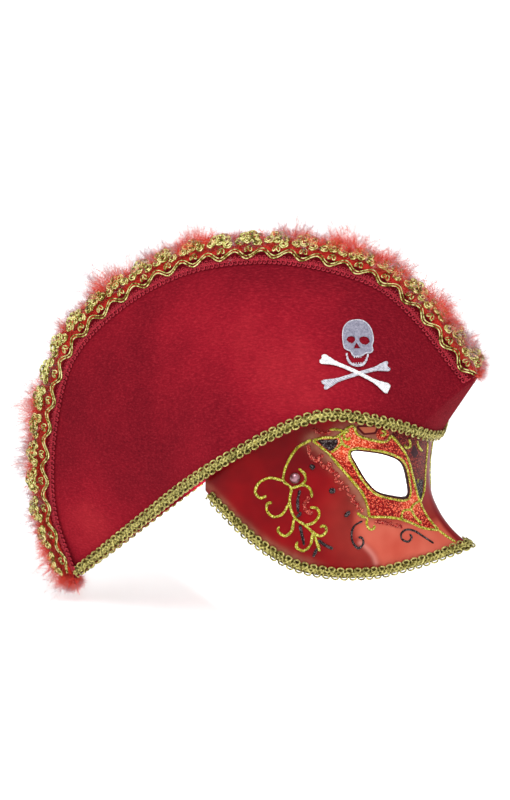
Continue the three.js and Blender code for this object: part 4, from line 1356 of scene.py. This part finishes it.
def black_glue():
    """Black curls, leaves and spots of the right half of the mask."""
    parts = [glue_line(curl, CURL_LINE, seed) for seed, curl in enumerate(BLACK_CURLS)]
    parts += [glue_line(leaf, LEAF_LINE, seed) for seed, leaf in enumerate(BLACK_LEAVES)]
    parts += [glue_drops([dot], SPOT, RED_GAP, seed) for seed, dot in enumerate(BLACK_DOTS)]
    return join(parts)


def bead_part():
    """Half-round bead with a turned foot, standing on the mask."""
    lift = np.radians(np.linspace(0, 90, 17))
    radius = BEAD_RADIUS * np.concatenate([[0.9, 1.02], np.cos(lift[:-1])])
    height = np.concatenate([[0, 0.12], 0.3 + 0.8 * BEAD_RADIUS * np.sin(lift[:-1])])
    count = 48
    normal = mask_normal(*BEAD_PLACE)
    side = unit(np.cross(normal, [0, 0, 1]))
    over = np.cross(side, normal)
    turn = np.linspace(0, 2 * np.pi, count, endpoint=False)
    ring = side * np.cos(turn)[:, None] + over * np.sin(turn)[:, None]
    centre = mask_point(*BEAD_PLACE) + normal * 0.3
    rows = centre + ring[None] * radius[:, None, None] + normal * height[:, None, None]
    i, j = np.meshgrid(np.arange(len(radius) - 1) * count, np.arange(count), indexing="ij")
    beside = (j + 1) % count
    faces = np.stack([i + j, i + beside, i + count + beside, i + count + j], -1).reshape(-1, 4)
    points = np.vstack([rows.reshape(-1, 3), centre + normal * (0.3 + 0.8 * BEAD_RADIUS), centre])
    rim = np.arange(count)
    top = cap_faces(len(points) - 2, rim + (len(radius) - 1) * count)
    foot = cap_faces(len(points) - 1, rim)[:, [0, 2, 1, 3]]
    return Part(points, np.vstack([faces, top, foot])).facing_out()


def tab_parts():
    """Folded strap tab inside the ear end of the mask, and its box of stitches."""
    angle, level = TAB_PLACE
    normal = unit(mask_normal(angle, level) * np.array([1, 1, 0]))
    side, up = np.cross([0, 0, 1], normal), np.array([0.0, 0, 1])
    centre = mask_point(angle, level) - normal * (MASK_THICKNESS + 2.0)
    across, high = np.meshgrid(np.linspace(-6, 6, 25), np.linspace(-5.5, 5.5, 23), indexing="ij")
    edge = np.minimum(6 - np.abs(across), 5.5 - np.abs(high))
    half = 0.8 * np.sqrt(np.clip(edge / 0.7, 0, 1)) + 0.05
    sheet = centre + across[..., None] * side + high[..., None] * up
    body = slab(sheet + normal * half[..., None], sheet - normal * half[..., None])
    corners = [(-4.6, -4), (4.6, -4), (4.6, 4), (-4.6, 4)]
    runs = [*zip(corners, corners[1:] + corners[:1]), (corners[0], corners[2]), (corners[1], corners[3])]
    stitches = []
    for start, end in runs:
        start, end = np.array(start), np.array(end)
        for k in range(5):
            t = (k + np.linspace(0.12, 0.82, 5)) / 5
            flat = start + (end - start) * t[:, None]
            off = -(0.86 + 0.18 * np.sin(np.linspace(0, np.pi, 5)))
            line = centre + flat[:, :1] * side + flat[:, 1:] * up + off[:, None] * normal
            stitches.append(tube(line, -normal, 0.17, 6))
    return body, join(stitches)


# ------------------------------------------------------------------ studio
VIEW_AZIMUTH, VIEW_ELEVATION = -74, 10  # from the wearer's right, a little in front and above
VIEW_DISTANCE = 1.5
VIEW_HEIGHT = 0.452
VIEW_CENTRE = Vector((0, 0.0083, 0.030))
FLOOR_HALF = 17.0  # metres from the middle of the floor to a side
FLOOR_FLAT = 11.0  # its flat part, beyond which it rises as a sweep
FLOOR_CURVE = 0.09
FLOOR_GAP = 0.014  # under the CAD box, for the feathers of the rear tip
SUNS = (("key", -112, 48, 0.65, 70), ("top", -30, 76, 1.15, 110), ("front", -28, 16, 0.3, 40))
DISKS = (
    ("inside", 0.06, 0.3, (-0.012, 0.03, -0.02), (0.048, -0.045, -0.008)),
    ("near", 0.16, 0.42, (-0.26, -0.02, 0.33), (-0.06, 0.03, 0.075)),
)


def direction(azimuth, elevation):
    """Unit vector towards a place seen from the object; azimuth 0 is in front of the face."""
    a, e = math.radians(azimuth), math.radians(elevation)
    return Vector((math.sin(a) * math.cos(e), -math.cos(a) * math.cos(e), math.sin(e)))


def floor():
    """White floor that rises into a sweep far round the object."""
    finish = Finish(
        "studio_white", Roughness=0.9, Specular_IOR_Level=0.1,
        Emission_Color=(255, 255, 255), Emission_Strength=0.3,
    )
    tone = finish.ramp(finish.noise(300, 1), [(0.3, (248, 248, 249)), (0.7, (251, 251, 251))])
    finish.set("Base Color", tone)
    side = np.linspace(-FLOOR_HALF, FLOOR_HALF, 69)
    across, along = np.meshgrid(side, side, indexing="ij")
    rise = FLOOR_CURVE * np.clip(np.hypot(across, along) - FLOOR_FLAT, 0, None) ** 2
    sweep = np.stack([across, along, rise + CAD_BOX[0].z - FLOOR_GAP], axis=-1)
    mesh = bpy.data.meshes.new("floor")
    mesh.from_pydata(sweep.reshape(-1, 3), [], grid_faces(69, 69).tolist())
    made = bpy.data.objects.new("floor", mesh)
    bpy.context.scene.collection.objects.link(made)
    for face in mesh.polygons:
        face.use_smooth = True
    mesh.materials.append(finish.material)


def lamp(name, kind, energy, facing, at=(0, 0, 0)):
    """A lamp that shines along a direction; gives its settings."""
    data = bpy.data.lights.new(name, kind)
    data.energy = energy
    made = bpy.data.objects.new(name, data)
    bpy.context.scene.collection.objects.link(made)
    made.location = at
    made.rotation_euler = facing.to_track_quat("-Z", "Y").to_euler()
    return data


def lights():
    """White surroundings, three soft suns, and two soft disks close to the object."""
    world = bpy.data.worlds.new("studio")
    world.use_nodes = True
    background = world.node_tree.nodes["Background"]
    background.inputs["Color"].default_value = (1, 1, 1, 1)
    background.inputs["Strength"].default_value = 0.38
    bpy.context.scene.world = world
    for name, azimuth, elevation, strength, width in SUNS:
        lamp(name, "SUN", strength, -direction(azimuth, elevation)).angle = math.radians(width)
    for name, size, power, at, aim in DISKS:
        data = lamp(name, "AREA", power, Vector(aim) - Vector(at), at)
        data.shape = "DISK"
        data.size = size


def camera():
    """Camera on the wearer's right, turned to the middle of the hat."""
    data = bpy.data.cameras.new("camera")
    data.sensor_fit = "VERTICAL"
    data.sensor_height = 24
    data.lens = 24 * VIEW_DISTANCE / VIEW_HEIGHT
    view = bpy.data.objects.new("camera", data)
    bpy.context.scene.collection.objects.link(view)
    back = direction(VIEW_AZIMUTH, VIEW_ELEVATION)
    view.location = VIEW_CENTRE + back * VIEW_DISTANCE
    view.rotation_euler = back.to_track_quat("Z", "Y").to_euler()
    bpy.context.scene.camera = view
    bpy.context.scene.view_settings.view_transform = "Standard"


# ------------------------------------------------------------------ assembly
floor()
lights()
camera()

felt = felt_finish()
threads = {name: thread_finish(name, **look) for name, look in THREADS.items()}
glues = {name: glue_finish(name, **look) for name, look in GLUES.items()}

felt_pair = place_pair("felt", felt_part(), felt, "felt_panel")
lining = panel_layer(LINING_INSET, LINING_DEPTH, LINING_THICKNESS, 161, 61, 0.15)
lining_pair = place_pair("lining_cloth", lining, lining_finish(), "lining")

cut_mask(mask_finish())
place("prow_seam", prow_seam(), felt)
place_pair("gold_lines", gold_glue(), glues["gold_glitter"])
place_pair("red_dots", red_glue(), glues["red_glitter"])
place_pair("black_lines", black_glue(), glues["black_glitter"])

edges = (("hat", hat_edge_rail(), -1.0, 0.4, 5.0), ("mask", mask_edge_rail(), -3.0, -1.6, 3.0))
for name, rail, near, tape_near, tape_far in edges:
    braid = gimp(rail, near, near + GIMP_WIDTH, 0.5, round(rail.length / GIMP_REPEAT), GIMP_CORD)
    place(f"{name}_braid", braid, threads["gold_thread"], [f"{name}_edge_gimp"])
    backing = tape(rail, tape_near, tape_far, 0.35, 0.25)
    place(f"{name}_braid_tape", backing, threads["gold_tape"])
rim = outer_rail()
place_pair("lace", gold_lace(rim), threads["gold_cord"], "gold_lace")
red_gimp = gimp(rim, *RED_GIMP_BAND, 0.15, round(rim.length / RED_GIMP_REPEAT), RED_GIMP_CORD)
place_pair("red_braid", red_gimp, threads["red_thread"], "red_gimp")

feathers = feather_finish()
seam = seam_rail(TRIM_FRONT, 1, 1201)
place("boa_core", boa_core(seam), feathers, ["feather_boa"])
for number in range(2):
    down = plumes(seam, 7 + number, **SHORT_DOWN)
    place(f"boa_down_{number + 1}", down, feathers)
for number in range(3):
    tuft = plumes(seam, 11 + number, **LONG_PLUMES)
    place(f"boa_plumes_{number + 1}", tuft, feathers)

skull_fill, skull_edges = skull_parts()
place_pair("skull_stitches", skull_fill, threads["grey_thread"], "skull")
place_pair("skull_edges", skull_edges, threads["white_thread"])
place_pair("bone_stitches_1", bone_part(0), threads["white_thread"], "crossbones")
place_pair("bone_stitches_2", bone_part(1), threads["bright_thread"])

place_pair("bead", bead_part(), pearl_finish(), "cheek_bead")
tab_body, tab_stitches = tab_parts()
place_pair("tab", tab_body, tab_finish(), "strap_tab")
place_pair("tab_stitches", tab_stitches, threads["dark_thread"])
